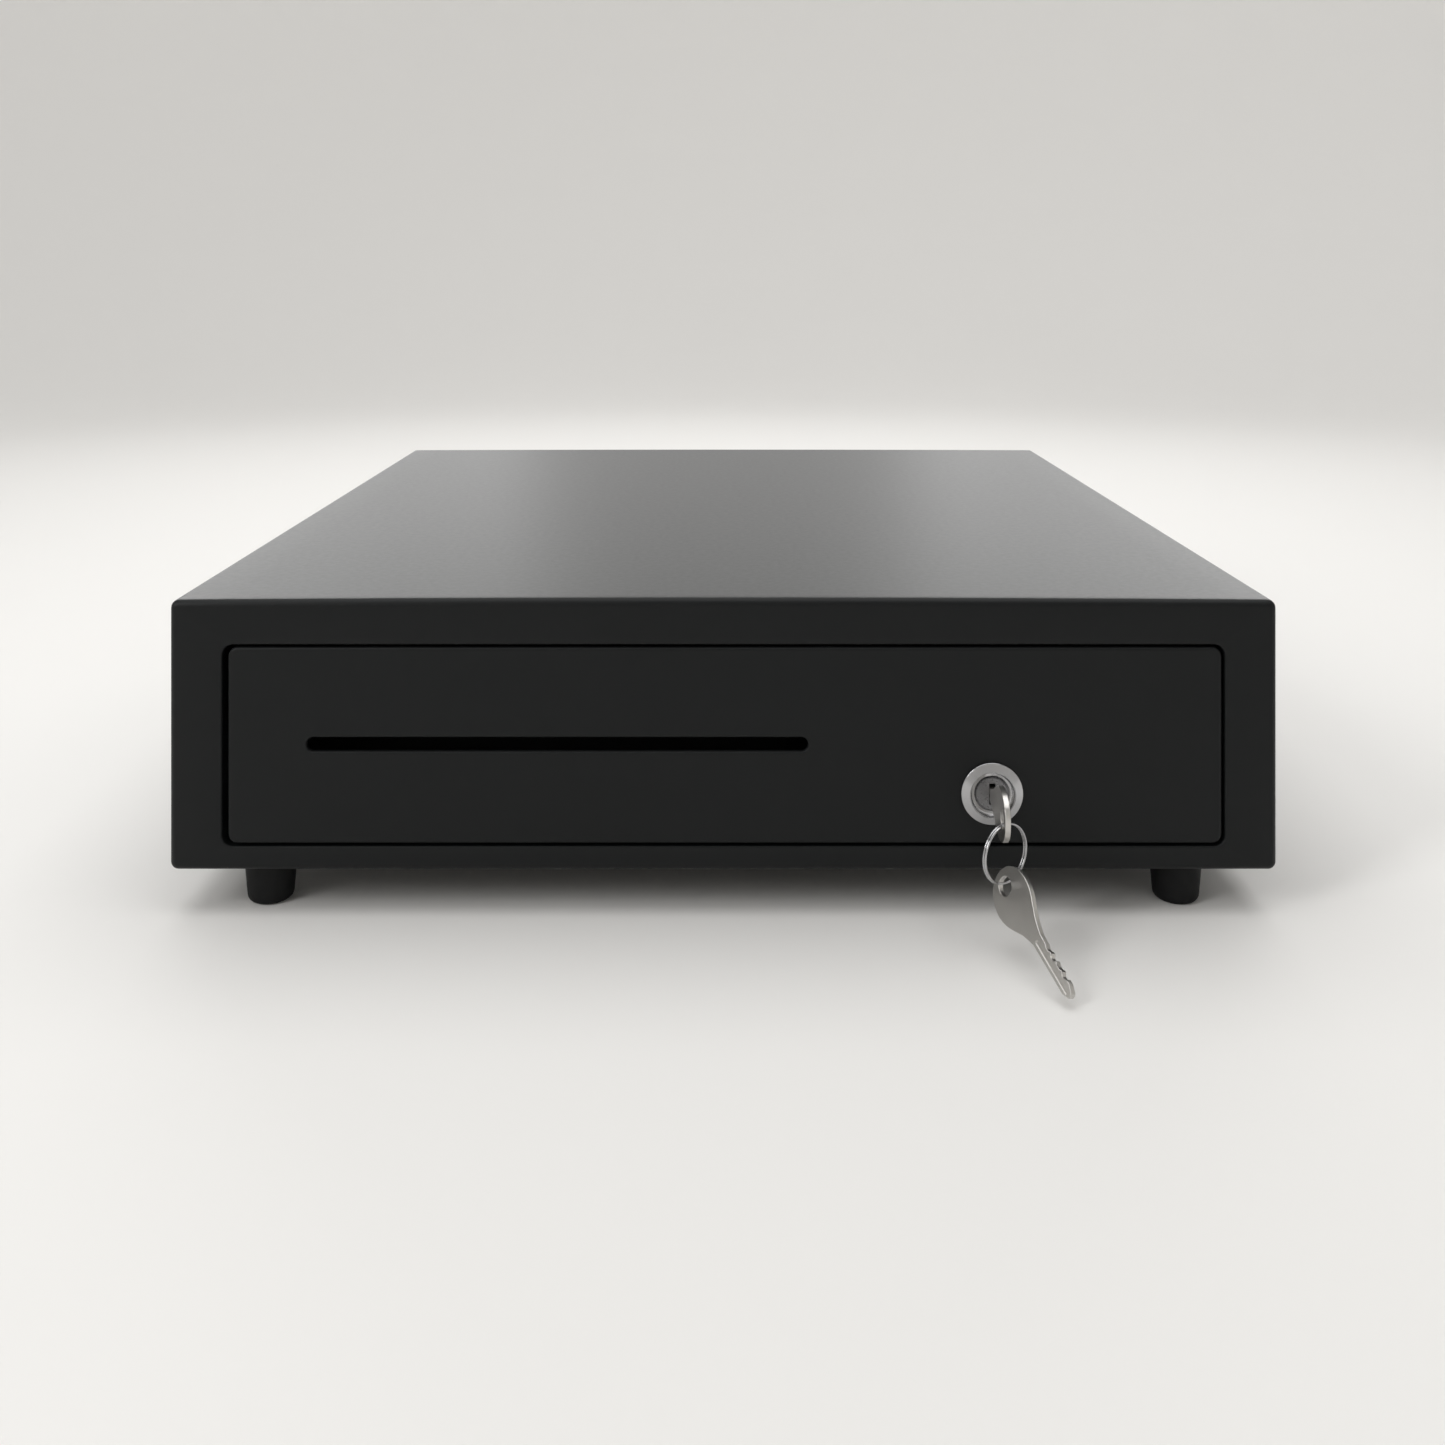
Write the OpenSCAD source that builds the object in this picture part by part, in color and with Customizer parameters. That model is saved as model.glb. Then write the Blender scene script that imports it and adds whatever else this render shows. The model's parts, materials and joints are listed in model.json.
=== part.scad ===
// Cash drawer: a folded sheet steel case on four rubber feet, with a front-opening money drawer.
// Millimetres. X points right, Y points back, Z points up, and Z = 0 is the table under the feet.

/* [Case] */
// Width of the case
case_w = 410; // [390:5:450]
// Depth of the case
case_d = 415; // [400:5:470]
// Height of the case without its feet
case_h = 100; // [94:2:124]
// Sheet thickness of the case and front
sheet_t = 1.2; // [1:0.1:1.6]
// Outside radius of the long folded corners
corner_r = 3; // [2:0.5:6]
// Clear height under the case
foot_gap = 17; // [12:1:22]
// Distance of each foot from the middle line
foot_x = 172.5; // [160:0.5:180]
// Distance of each foot from the front and back
foot_in = 17; // [15:1:40]
// Width of the folded lips under the sides
lip_w = 22; // [18:1:26]

/* [Front] */
// Width of the opening in the front frame
open_w = 371; // [350:1:380]
// Height of the frame under the opening
sill_h = 9.1; // [8:0.1:12]
// Height of the frame over the opening
head_h = 16.3; // [14:0.1:20]
// Corner radius of the opening
open_r = 4; // [2:0.5:6]
// Gap around the drawer front
panel_gap = 1; // [0.6:0.1:2]
// Sideways set of the drawer front in its opening
panel_shift = 0.6; // [0:0.1:1]
// Depth of the folded edge of the drawer front
panel_fold = 10; // [6:0.5:11]
// Length of the media slot
slot_w = 185.5; // [150:0.5:200]
// Height of the media slot
slot_h = 5.2; // [4.6:0.1:7]
// Sideways place of the media slot's middle
slot_x = -61.4; // [-80:0.1:-40]
// Height of the media slot over the case's bottom
slot_z = 46.8; // [40:0.1:52]

/* [Lock] */
// Sideways place of the lock
lock_x = 99.2; // [80:0.1:120]
// Height of the lock over the case's bottom
lock_z = 29; // [26:0.1:30]
// Radius of the lock's bright bezel
bezel_r = 11.5; // [10:0.5:13]
// Radius of the threaded lock barrel
barrel_r = 9.4; // [8:0.1:9.6]
// Radius of the turning plug
plug_r = 6.25; // [5.5:0.05:7]
// Reach of the locking cam
cam_reach = 22; // [21:0.5:23]
// Length of a key's blade
blade_len = 22.5; // [18:0.5:22.5]
// Width of a key's bow
bow_w = 17; // [14:0.5:20]
// Thickness of a key
key_t = 2; // [1.6:0.1:2.2]
// Mean radius of the key ring
ring_r = 10.35; // [9:0.05:12]

/* [Drawer] */
// Travel of the drawer
travel = 290; // [240:5:300]
// Sheet thickness of the drawer box
box_t = 1; // [0.8:0.1:1.2]
// Wall thickness of the plastic till
till_t = 2; // [1.6:0.2:3]
// Number of note bays
bays = 5; // [5:1:5]
// Number of coin cups
cups = 8; // [5:1:8]
// Height left under the till for cheques and slips
media_h = 16; // [12:1:20]
// Reach of a note clip from its rod
clip_len = 96; // [80:1:100]
// Slope of a resting note clip, in degrees
clip_drop = 20; // [12:1:22]

/* [Slides] */
// Height of the outer slide rail
rail_h = 35; // [35:1:38]
// Radius of the slide balls
ball_r = 1.8; // [1.8:0.05:1.85]
// Spacing of the slide balls
ball_step = 22; // [18:1:30]

/* [Latch] */
// Turn of the latch hook between held and let go, in degrees
latch_turn = 11; // [10:0.5:12]
// Radius of the strike pin
strike_r = 2.5; // [2:0.1:3]

/* [Hidden] */
$fn = 48;
eps = 0.02;
fit = 0.05;

// Levels and depths, with the front face at y = 0 inside set_back()
front_y = -(case_d + 0.5 - 63) / 2;
z0 = foot_gap;
z1 = z0 + case_h;
half_w = case_w / 2;
base_z = z0 + sheet_t;
floor_z = base_z + sheet_t;
open_z0 = z0 + sill_h;
open_z1 = z1 - head_h;
rear = case_d - 70;
slot_zc = z0 + slot_z;
slot_back = 2.5;
lock_zc = z0 + lock_z;

// Slides
slide_w = 12.7;
rail_x = open_w / 2 + 0.7;
rail_z = z0 + 28;
rail_y = 14;
rail_len = rear - 5;
ball_gap = ball_r + 0.1;
mid_h = rail_h / 2 - 1.2 - 2 * ball_gap;
in_h = mid_h - 1 - 2 * ball_gap;
cage_y = 90;
cage_len = 174;

// Drawer
box_x = rail_x - slide_w;
box_z0 = z0 + 12;
box_z1 = open_z1 - 5.7;
till_z0 = box_z0 + box_t + media_h;
till_z1 = box_z1 + 1;
till_x = box_x - box_t - 1;
till_y0 = 36;
till_y1 = rear - 5;
bay_y0 = till_y0 + 136;
bay_w = (2 * till_x - (bays + 1) * till_t) / bays;
tray_x = till_x - till_t - 0.5;
tray_y0 = till_y0 + till_t + 0.5;
tray_y1 = bay_y0 - till_t - 0.5;
cup_w = (2 * tray_x - (cups + 1) * till_t) / cups;
rod_y = till_y1 - 10;
rod_z = till_z1 - 10;
rod_r = 2;

// Latch, measured from the back of the drawer
strike_y = rear + 16;
pivot_x = -15;
pivot_y = rear + 43;
hook_z = z0 + 27;
deck_z = z0 + 16;
plunger_y = pivot_y + 14;
plunger_z = hook_z + 1.5;
pin_x = pivot_x + 14 * sin(latch_turn);
post_x = 80;
switch_x = -70;
jack_x = -90;

// Keys
bow_len = 22.5;
hole_r = 3.25;
wire_r = 0.9;
shoulder_y = -2.5;
key_hole_y = shoulder_y - bow_len;
ring_z = lock_zc - hole_r + wire_r + 0.65 - ring_r;
spare_hole = [lock_x + 0.5, key_hole_y - 1.4, ring_z - ring_r - 0.65];
spare_aim = [0.298, -0.857, -0.42];

black_steel = [0.05, 0.05, 0.055];
zinc = [0.66, 0.67, 0.69];
chrome = [0.78, 0.78, 0.8];
black_plastic = [0.07, 0.07, 0.075];
rubber = [0.03, 0.03, 0.03];
brass = [0.75, 0.6, 0.3];
copper = [0.72, 0.42, 0.25];

module set_back() {
  translate([0, front_y, 0]) children();
}

module slab(x0, x1, y0, y1, low, high) {
  translate([x0, y0, low]) cube([x1 - x0, y1 - y0, high - low]);
}

// A flat shape drawn in X and Z, made solid from y0 to y1
module along_y(y0, y1) {
  translate([0, y1, 0]) rotate([90, 0, 0]) linear_extrude(y1 - y0) children();
}

// A flat shape drawn in X and Y, made solid between two heights
module along_z(low, high) {
  translate([0, 0, low]) linear_extrude(high - low) children();
}

module round_rect(x0, x1, low, high, r) {
  translate([x0 + r, low]) square([x1 - x0 - 2 * r, high - low]);
  translate([x0, low + r]) square([x1 - x0, high - low - 2 * r]);
  for (x = [x0 + r, x1 - r], z = [low + r, high - r]) translate([x, z]) circle(r);
}

module rod_y_at(x, z, r, y0, y1) {
  translate([x, y1, z]) rotate([90, 0, 0]) cylinder(r = r, h = y1 - y0);
}

module rod_x_at(y, z, r, x0, x1) {
  translate([x0, y, z]) rotate([0, 90, 0]) cylinder(r = r, h = x1 - x0);
}

module rod_z_at(x, y, r, low, high) {
  translate([x, y, low]) cylinder(r = r, h = high - low);
}

// A close-wound coil standing on z = 0
module coil(turns, wire, mean) {
  step = wire * 1.9;
  rotate_extrude() {
    translate([mean - wire / 2, wire]) square([wire, (turns - 1) * step]);
    for (i = [0:turns - 1]) translate([mean, wire + i * step]) circle(wire);
  }
}

module handed(side) {
  if (side < 0) mirror([1, 0, 0]) children();
  else children();
}

// ---- Case ----

module cover_screw_holes() {
  for (x = [-62, 62]) rod_z_at(x, 7.5, 2 + fit, z0 - 1, base_z + 1);
  for (x = [-194, 194]) rod_z_at(x * half_w / 205, case_d - 7, 2 + fit, z0 - 1, base_z + 1);
  for (z = [z0 + 22, z1 - 22]) rod_x_at(case_d - 7, z, 2 + fit, -half_w - 1, half_w + 1);
}

module case_cover() {
  color(black_steel) set_back() difference() {
    along_y(0, case_d) round_rect(-half_w, half_w, z0, z1, corner_r);
    along_y(sheet_t, case_d + 1) round_rect(-half_w + sheet_t, half_w - sheet_t, z0 + sheet_t, z1 - sheet_t,
      corner_r - sheet_t);
    along_y(-1, sheet_t + 1) round_rect(-open_w / 2, open_w / 2, open_z0, open_z1, open_r);
    slab(lip_w - half_w, half_w - lip_w, 14, case_d + 1, z0 - 1, base_z + eps);
    for (side = [-1, 1]) handed(side) slab(foot_x - 18, half_w - lip_w, 6, 15, z0 - 1, base_z + eps);
    cover_screw_holes();
  }
}

module base_plate() {
  color(black_steel) set_back() difference() {
    slab(corner_r - half_w, half_w - corner_r, sheet_t + 0.3, case_d, base_z, floor_z);
    cover_screw_holes();
    foot_places() cylinder(r = 2 + fit, h = 40);
    for (x = [-62, 62], y = [80, 200, 320]) rod_z_at(x, y, 3, base_z - 1, floor_z + 1);
    for (x = [-62, 62]) rod_z_at(x, 7.5, 2 + fit, base_z - 1, floor_z + 1);
    for (x = [-194, 194]) rod_z_at(x * half_w / 205, case_d - 7, 2 + fit, base_z - 1, floor_z + 1);
    bracket_screw_places() cylinder(r = 2 + fit, h = 8, center = true);
    for (x = [9 - half_w, half_w - 9], y = [60, 280]) rod_z_at(x, y * rear / 345, 2 + fit, base_z - 1, floor_z + 1);
  }
}

module rear_panel() {
  w = half_w - sheet_t - 0.3;
  top = z1 - sheet_t - 0.3;
  color(black_steel) set_back() difference() {
    along_y(case_d - 13, case_d) round_rect(-w, w, floor_z, top, 3);
    along_y(case_d - 14, case_d - sheet_t)
      round_rect(-w + sheet_t, w - sheet_t, floor_z + sheet_t, top - sheet_t, 1.8);
    slab(jack_x - 7.2, jack_x + 7.2, case_d - 5, case_d + 1, z0 + 20, z0 + 34.2);
    for (z = [z0 + 22, z1 - 22]) rod_x_at(case_d - 7, z, 2 + fit, -half_w - 1, half_w + 1);
    for (x = [-194, 194]) rod_z_at(x * half_w / 205, case_d - 7, 2 + fit, floor_z - 1, floor_z + 3);
    for (i = [0:5]) slab(60 + 12 * i, 64 + 12 * i, case_d - 3, case_d + 1, z0 + 34, z0 + 66);
  }
}

module case_screws() {
  color(zinc) set_back() {
    for (x = [-62, 62]) {
      rod_z_at(x, 7.5, 2, z0 - 0.1, floor_z + 3);
      rod_z_at(x, 7.5, 3.6, z0 - 1.3, z0);
    }
    for (x = [-194, 194]) {
      rod_z_at(x * half_w / 205, case_d - 7, 2, z0 - 0.1, floor_z + 4);
      rod_z_at(x * half_w / 205, case_d - 7, 3.6, z0 - 1.3, z0);
    }
    for (side = [-1, 1], z = [z0 + 22, z1 - 22]) handed(side) {
      rod_x_at(case_d - 7, z, 2, half_w - 6, half_w + 0.1);
      rod_x_at(case_d - 7, z, 3.6, half_w, half_w + 1.5);
    }
  }
}

module foot_places() {
  for (x = [-foot_x, foot_x], y = [foot_in, case_d - foot_in]) translate([x, y, 0]) children();
}

module foot_at(x, y) {
  color(rubber) set_back() translate([x, y, 0]) rotate_extrude() polygon([[5, 0], [7.2, 0], [8.2, 1], [10, base_z],
    [2 + fit, base_z], [2 + fit, foot_gap - 6], [5, foot_gap - 6]]);
}

module foot_front_left() foot_at(-foot_x, foot_in);
module foot_front_right() foot_at(foot_x, foot_in);
module foot_rear_left() foot_at(-foot_x, case_d - foot_in);
module foot_rear_right() foot_at(foot_x, case_d - foot_in);

module foot_screws() {
  color(zinc) set_back() foot_places() {
    translate([0, 0, foot_gap - 8]) cylinder(r = 4.4, h = 2);
    translate([0, 0, foot_gap - 6.1]) cylinder(r = 2, h = floor_z + 3 - foot_gap + 6);
  }
}

// ---- Slides ----

module slide_screw_ys() {
  for (y = [40, 170, 300]) translate([0, y * rear / 345, 0]) children();
}

module rail_bracket(side) {
  far = half_w - sheet_t - 0.3;
  color(zinc) set_back() handed(side) difference() {
    slab(rail_x, far, rail_y, rail_y + rail_len + 6, floor_z, rail_z + rail_h / 2 + 2.5);
    slab(rail_x + 1.5, far + 1, rail_y - 1, rail_y + rail_len + 7, floor_z + 1.5, rail_z + rail_h / 2 + 1);
    slide_screw_ys() rod_x_at(0, rail_z, 2 + fit, rail_x - 1, rail_x + 3);
    for (y = [60, 280]) rod_z_at(half_w - 9, y * rear / 345, 2 + fit, floor_z - 1, floor_z + 4);
  }
}

module rail_bracket_left() rail_bracket(-1);
module rail_bracket_right() rail_bracket(1);

module outer_profile() {
  translate([rail_x - 1.2, -rail_h / 2]) square([1.2, rail_h]);
  for (s = [0, 1]) mirror([0, s]) {
    translate([rail_x - 10.2, rail_h / 2 - 1.2]) square([10.2, 1.2]);
    translate([rail_x - 10.2, rail_h / 2 - 2.2]) square([1.2, 2.2]);
  }
}

module middle_profile() {
  translate([rail_x - 3.2, -mid_h]) square([1, 2 * mid_h]);
  for (s = [0, 1]) mirror([0, s]) {
    translate([rail_x - 10.8, mid_h - 1]) square([8.6, 1]);
    translate([rail_x - 10.8, mid_h - 1.8]) square([1, 2.6]);
  }
}

module inner_profile() {
  translate([rail_x - slide_w, -in_h]) square([1, 2 * in_h]);
  for (s = [0, 1]) mirror([0, s]) {
    translate([rail_x - slide_w, in_h - 1]) square([slide_w - 3.9, 1]);
    translate([rail_x - 4.9, in_h - 1]) square([1, 1.8]);
  }
}

module outer_rail(side) {
  color(zinc) set_back() handed(side) difference() {
    translate([0, 0, rail_z]) along_y(rail_y, rail_y + rail_len) outer_profile();
    slide_screw_ys() rod_x_at(0, rail_z, 2 + fit, rail_x - 2, rail_x + 1);
  }
}

module outer_rail_left() outer_rail(-1);
module outer_rail_right() outer_rail(1);

module middle_rail(side) {
  color(zinc) set_back() handed(side) difference() {
    translate([0, 0, rail_z]) along_y(rail_y + 2, rail_y + rail_len - 8) middle_profile();
    for (y = [60, 160, 260]) translate([0, y * rear / 345, rail_z]) rod_x_at(0, 0, 4, rail_x - 4, rail_x - 1.9);
  }
}

module middle_rail_left() middle_rail(-1);
module middle_rail_right() middle_rail(1);

module inner_rail(side) {
  color(zinc) set_back() handed(side) difference() {
    translate([0, 0, rail_z]) along_y(rail_y, rail_y + rail_len - 14) inner_profile();
    slide_screw_ys() rod_x_at(0, rail_z, 2 + fit, box_x - 1, box_x + 2);
  }
}

module inner_rail_left() inner_rail(-1);
module inner_rail_right() inner_rail(1);

// A ball cage: a thin strip with two flanges that carry a row of balls each
module cage(side, inset, depth, level, ball_in) {
  color(zinc) set_back() handed(side) translate([0, 0, rail_z]) {
    along_y(cage_y, cage_y + cage_len) {
      translate([rail_x - inset - 0.35, -level - 0.4]) square([0.35, 2 * level + 0.8]);
      for (s = [0, 1]) mirror([0, s]) translate([rail_x - depth, level - 0.4]) square([depth - inset, 0.8]);
    }
    for (y = [cage_y + 10:ball_step:cage_y + cage_len - 8], z = [-level, level])
      translate([rail_x - ball_in, y, z]) sphere(ball_r);
  }
}

module outer_cage_left() cage(-1, 1.5, 8.4, mid_h + ball_gap, 5.5);
module outer_cage_right() cage(1, 1.5, 8.4, mid_h + ball_gap, 5.5);
module inner_cage_left() cage(-1, 3.38, 9.4, in_h + ball_gap, 7);
module inner_cage_right() cage(1, 3.38, 9.4, in_h + ball_gap, 7);

module rail_screws() {
  color(zinc) set_back() for (side = [-1, 1]) handed(side) {
    slide_screw_ys() {
      rod_x_at(0, rail_z, 2, rail_x - 1.1, rail_x + 1.6);
      rod_x_at(0, rail_z, 3.8, rail_x + 1.5, rail_x + 3.2);
    }
    for (y = [60, 280]) {
      rod_z_at(half_w - 9, y * rear / 345, 2, base_z + 0.1, floor_z + 1.6);
      rod_z_at(half_w - 9, y * rear / 345, 3.8, floor_z + 1.5, floor_z + 3.2);
    }
  }
}

module inner_rail_screws() {
  color(zinc) set_back() for (side = [-1, 1]) handed(side) slide_screw_ys() {
    rod_x_at(0, rail_z, 2, box_x - box_t + 0.1, box_x + 1.1);
    rod_x_at(0, rail_z, 3.2, box_x + 1, box_x + 2.3);
  }
}

// ---- Lock keeper, latch and rear parts ----

module lock_keeper() {
  color(zinc) set_back() difference() {
    union() {
      slab(lock_x - 20, lock_x + 20, 18, 19.5, floor_z, box_z0 - 1.4);
      slab(lock_x - 20, lock_x + 20, 19.4, 36, floor_z, floor_z + 1.2);
    }
    for (x = [lock_x - 14, lock_x + 14]) rod_z_at(x, 31, 2 + fit, floor_z - 1, floor_z + 3);
  }
}

module bracket_screw_places() {
  for (x = [lock_x - 14, lock_x + 14]) translate([x, 31, floor_z + 1.2]) children();
  for (x = [-52, 57]) translate([x, rear + 48, floor_z + 1.5]) children();
  translate([post_x, rear + 40, floor_z + 1.5]) children();
  translate([switch_x - 15, rear + 10, floor_z + 1.5]) children();
}

module bracket_screws() {
  color(zinc) set_back() bracket_screw_places() {
    translate([0, 0, -2.8]) cylinder(r = 2, h = 2.9);
    cylinder(r = 3.6, h = 1.8);
  }
}

module latch_bracket() {
  color(zinc) set_back() difference() {
    union() {
      slab(-44, 49, rear + 30, rear + 68, deck_z - 1.5, deck_z);
      slab(-44, -42.5, rear + 30, rear + 56, floor_z, deck_z);
      slab(47.5, 49, rear + 30, rear + 56, floor_z, deck_z);
      slab(-58, -43, rear + 36, rear + 56, floor_z, floor_z + 1.5);
      slab(48, 63, rear + 36, rear + 56, floor_z, floor_z + 1.5);
      rod_z_at(-38, rear + 36, 1.5, deck_z - 0.5, hook_z + 6);
    }
    for (x = [-52, 57]) rod_z_at(x, rear + 48, 2 + fit, floor_z - 1, floor_z + 3);
    rod_z_at(pivot_x, pivot_y, 3 + fit, deck_z - 3, deck_z + 1);
  }
}

module latch_pivot() {
  color(zinc) set_back() {
    rod_z_at(pivot_x, pivot_y, 3, deck_z - 2.5, hook_z + 3.5);
    rod_z_at(pivot_x, pivot_y, 5, deck_z, hook_z - 0.3);
    rod_z_at(pivot_x, pivot_y, 5, hook_z + 3.3, hook_z + 5);
  }
}

module hook_outline() {
  translate([-4, -38]) square([8, 53]);
  polygon([[-4, -38], [6, -41], [16.5, -34], [16.5, -30], [3, -30], [-4, -30]]);
  translate([0, 15]) circle(5);
  circle(6.5);
}

// The hook is drawn held and turned back to its let-go rest place
module latch_hook() {
  color(zinc) set_back() translate([pivot_x, pivot_y, 0]) rotate([0, 0, -latch_turn]) difference() {
    along_z(hook_z, hook_z + 3) hook_outline();
    rod_z_at(0, 0, 3 + fit, hook_z - 1, hook_z + 4);
    slab(-1.85, 1.85, 11.5, 17, hook_z - 1, hook_z + 4);
    rod_z_at(-1.5, -27, 1.2, hook_z - 1, hook_z + 4);
  }
}

module solenoid_frame() {
  color(zinc) set_back() difference() {
    slab(-3, 37, plunger_y - 11, plunger_y + 10, deck_z, plunger_z + 11.5);
    slab(-1.4, 35.4, plunger_y - 12, plunger_y + 12, deck_z + 1.6, plunger_z + 13);
    rod_x_at(plunger_y, plunger_z, 4.3, -4, 0);
  }
}

module solenoid_coil() {
  color(copper) set_back() difference() {
    union() {
      rod_x_at(plunger_y, plunger_z, 8.8, -1.1, 35.1);
      rod_x_at(plunger_y, plunger_z, 9.8, -1.1, 0.9);
      rod_x_at(plunger_y, plunger_z, 9.8, 33.1, 35.1);
    }
    rod_x_at(plunger_y, plunger_z, 4.3, -2, 32);
  }
}

module solenoid_plunger() {
  color(chrome) set_back() {
    rod_x_at(plunger_y, plunger_z, 4, pin_x + 5.5, 28);
    difference() {
      rod_x_at(plunger_y, plunger_z, 4, pin_x - 3, pin_x + 5.6);
      slab(pin_x - 4, pin_x + 5.5, plunger_y - 5, plunger_y + 5, hook_z - 0.4, hook_z + 3.4);
    }
    rod_z_at(pin_x, plunger_y, 1.5, plunger_z - 3, plunger_z + 3);
  }
}

module latch_spring() {
  color(zinc) set_back() translate([-36.2, rear + 36, hook_z + 3.6]) rotate([0, 90, 0])
    coil(9, 0.5, 1.9);
}

module spring_post() {
  color(zinc) set_back() difference() {
    union() {
      slab(post_x - 12, post_x + 12, rear + 28, rear + 29.5, floor_z, z0 + 46);
      slab(post_x - 12, post_x + 12, rear + 29.4, rear + 48, floor_z, floor_z + 1.5);
      rod_y_at(post_x, z0 + 34, 3.5, rear + 10, rear + 28.1);
    }
    rod_z_at(post_x, rear + 40, 2 + fit, floor_z - 1, floor_z + 3);
  }
}

module kick_spring() {
  color(zinc) set_back() translate([post_x, rear + 27.7, z0 + 34]) rotate([90, 0, 0]) coil(18, 0.8, 4.7);
}

module switch_body() {
  color(black_plastic) set_back() difference() {
    union() {
      slab(switch_x - 10, switch_x + 10, rear + 4.5, rear + 15, floor_z, z0 + 24);
      slab(switch_x - 20, switch_x - 9, rear + 4.5, rear + 15, floor_z, floor_z + 1.5);
    }
    rod_y_at(switch_x, z0 + 19, 1.85, rear + 3, rear + 9);
    rod_z_at(switch_x - 15, rear + 10, 2 + fit, floor_z - 1, floor_z + 3);
  }
}

module switch_button() {
  color([0.7, 0.1, 0.08]) set_back() rod_y_at(switch_x, z0 + 19, 1.8, rear + 0.3, rear + 7.5);
}

module cable_jack() {
  color(black_plastic) set_back() difference() {
    slab(jack_x - 7, jack_x + 7, case_d - 17, case_d + 0.5, z0 + 20.2, z0 + 34);
    slab(jack_x - 5, jack_x + 5, case_d - 13, case_d + 1, z0 + 24, z0 + 31);
    slab(jack_x - 2, jack_x + 2, case_d - 13, case_d + 1, z0 + 22, z0 + 25);
  }
}

module jack_contacts() {
  color(brass) set_back() for (i = [0:5])
    slab(jack_x - 3.4 + 1.27 * i, jack_x - 2.9 + 1.27 * i, case_d - 12.9, case_d - 4, z0 + 30, z0 + 31);
}

// Two insulated leads, each a run of straight lengths between the corner points of a route
module lead(route) {
  for (i = [0:len(route) - 2]) {
    a = route[i];
    d = route[i + 1] - a;
    translate(a) rotate([0, acos(d[2] / norm(d)), atan2(d[1], d[0])]) cylinder(r = 1, h = norm(d));
    if (i > 0) translate(a) sphere(1.2);
  }
}

module wiring() {
  z = floor_z + 1.5;
  back = case_d - 26;
  color([0.5, 0.05, 0.05]) set_back() {
    lead([[jack_x - 3, case_d - 17, z0 + 27], [jack_x - 3, back, z0 + 27], [jack_x - 3, back, z],
      [switch_x - 4, back, z], [switch_x - 4, rear + 15, z]]);
    lead([[jack_x + 3, case_d - 17, z0 + 27], [jack_x + 3, back, z0 + 27], [jack_x + 3, back, z0 + 43],
      [17, back, z0 + 43], [17, plunger_y, z0 + 43], [17, plunger_y, plunger_z + 8.8]]);
  }
}

// ---- Drawer ----

module drawer_box() {
  color(black_steel) set_back() difference() {
    union() {
      difference() {
        slab(-box_x, box_x, sheet_t, rear, box_z0, box_z1);
        slab(box_t - box_x, box_x - box_t, sheet_t + box_t, rear - box_t, box_z0 + box_t, box_z1 + 1);
      }
      for (side = [-1, 1]) handed(side) {
        slab(box_x - 13, box_x - box_t + eps, till_y0 + 4, rear - 12, till_z0 - 1, till_z0);
        slab(box_x - 13, box_x - 12, till_y0 + 4, rear - 12, box_z0 + box_t - eps, till_z0);
      }
    }
    // The box's cut-out stands back from the slot's edge all round, so paper can't catch on it
    along_y(0, 5) round_rect(slot_x - slot_w / 2 - slot_back, slot_x + slot_w / 2 + slot_back,
      slot_zc - slot_h / 2 - slot_back, slot_zc + slot_h / 2 + slot_back, slot_h / 2 + slot_back - 0.1);
    rod_y_at(lock_x, lock_zc, barrel_r + 0.1, 0, 5);
    slab(lock_x - 10, lock_x + 21, 19.8, 24, box_z0 - 1, box_z0 + box_t + 1);
    slide_screw_ys() rod_x_at(0, rail_z, 2 + fit, -box_x - 1, box_x + 1);
    front_screw_places() rod_y_at(0, 0, 2 + fit, 0, 4);
    for (x = [-15, 15]) rod_y_at(x, z0 + 40, 2 + fit, rear - 3, rear + 1);
  }
}

module front_panel() {
  x0 = -open_w / 2 + panel_gap + 2 * panel_shift;
  x1 = open_w / 2 - panel_gap;
  low = open_z0 + panel_gap;
  high = open_z1 - panel_gap;
  color(black_steel) set_back() difference() {
    along_y(0, panel_fold) round_rect(x0, x1, low, high, open_r - 0.5);
    along_y(sheet_t, panel_fold + 1) round_rect(x0 + sheet_t, x1 - sheet_t, low + sheet_t, high - sheet_t,
      open_r - 0.5 - sheet_t);
    along_y(-1, 5) round_rect(slot_x - slot_w / 2, slot_x + slot_w / 2, slot_zc - slot_h / 2,
      slot_zc + slot_h / 2, slot_h / 2 - 0.1);
    rod_y_at(lock_x, lock_zc, barrel_r + 0.1, -1, 5);
  }
}

module front_screw_places() {
  for (x = [-155, -40, 50, 155], z = [box_z0 + 8, box_z1 - 8]) translate([x, 0, z]) children();
}

module front_screws() {
  color(zinc) set_back() front_screw_places() {
    rod_y_at(0, 0, 2, sheet_t, sheet_t + box_t + 0.1);
    rod_y_at(0, 0, 3.6, sheet_t + box_t, sheet_t + box_t + 1.8);
  }
}

module strike_plate() {
  color(zinc) set_back() difference() {
    union() {
      slab(-22, 22, rear, rear + 1.5, z0 + 20, z0 + 44);
      slab(-9, 9, rear + 1.4, rear + 21, hook_z - 4, hook_z - 2.5);
      slab(-9, 9, rear + 1.4, rear + 21, hook_z + 5.5, hook_z + 7);
      rod_z_at(0, strike_y, strike_r, hook_z - 3, hook_z + 6);
    }
    for (x = [-15, 15]) rod_y_at(x, z0 + 40, 2 + fit, rear - 1, rear + 3);
  }
}

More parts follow.
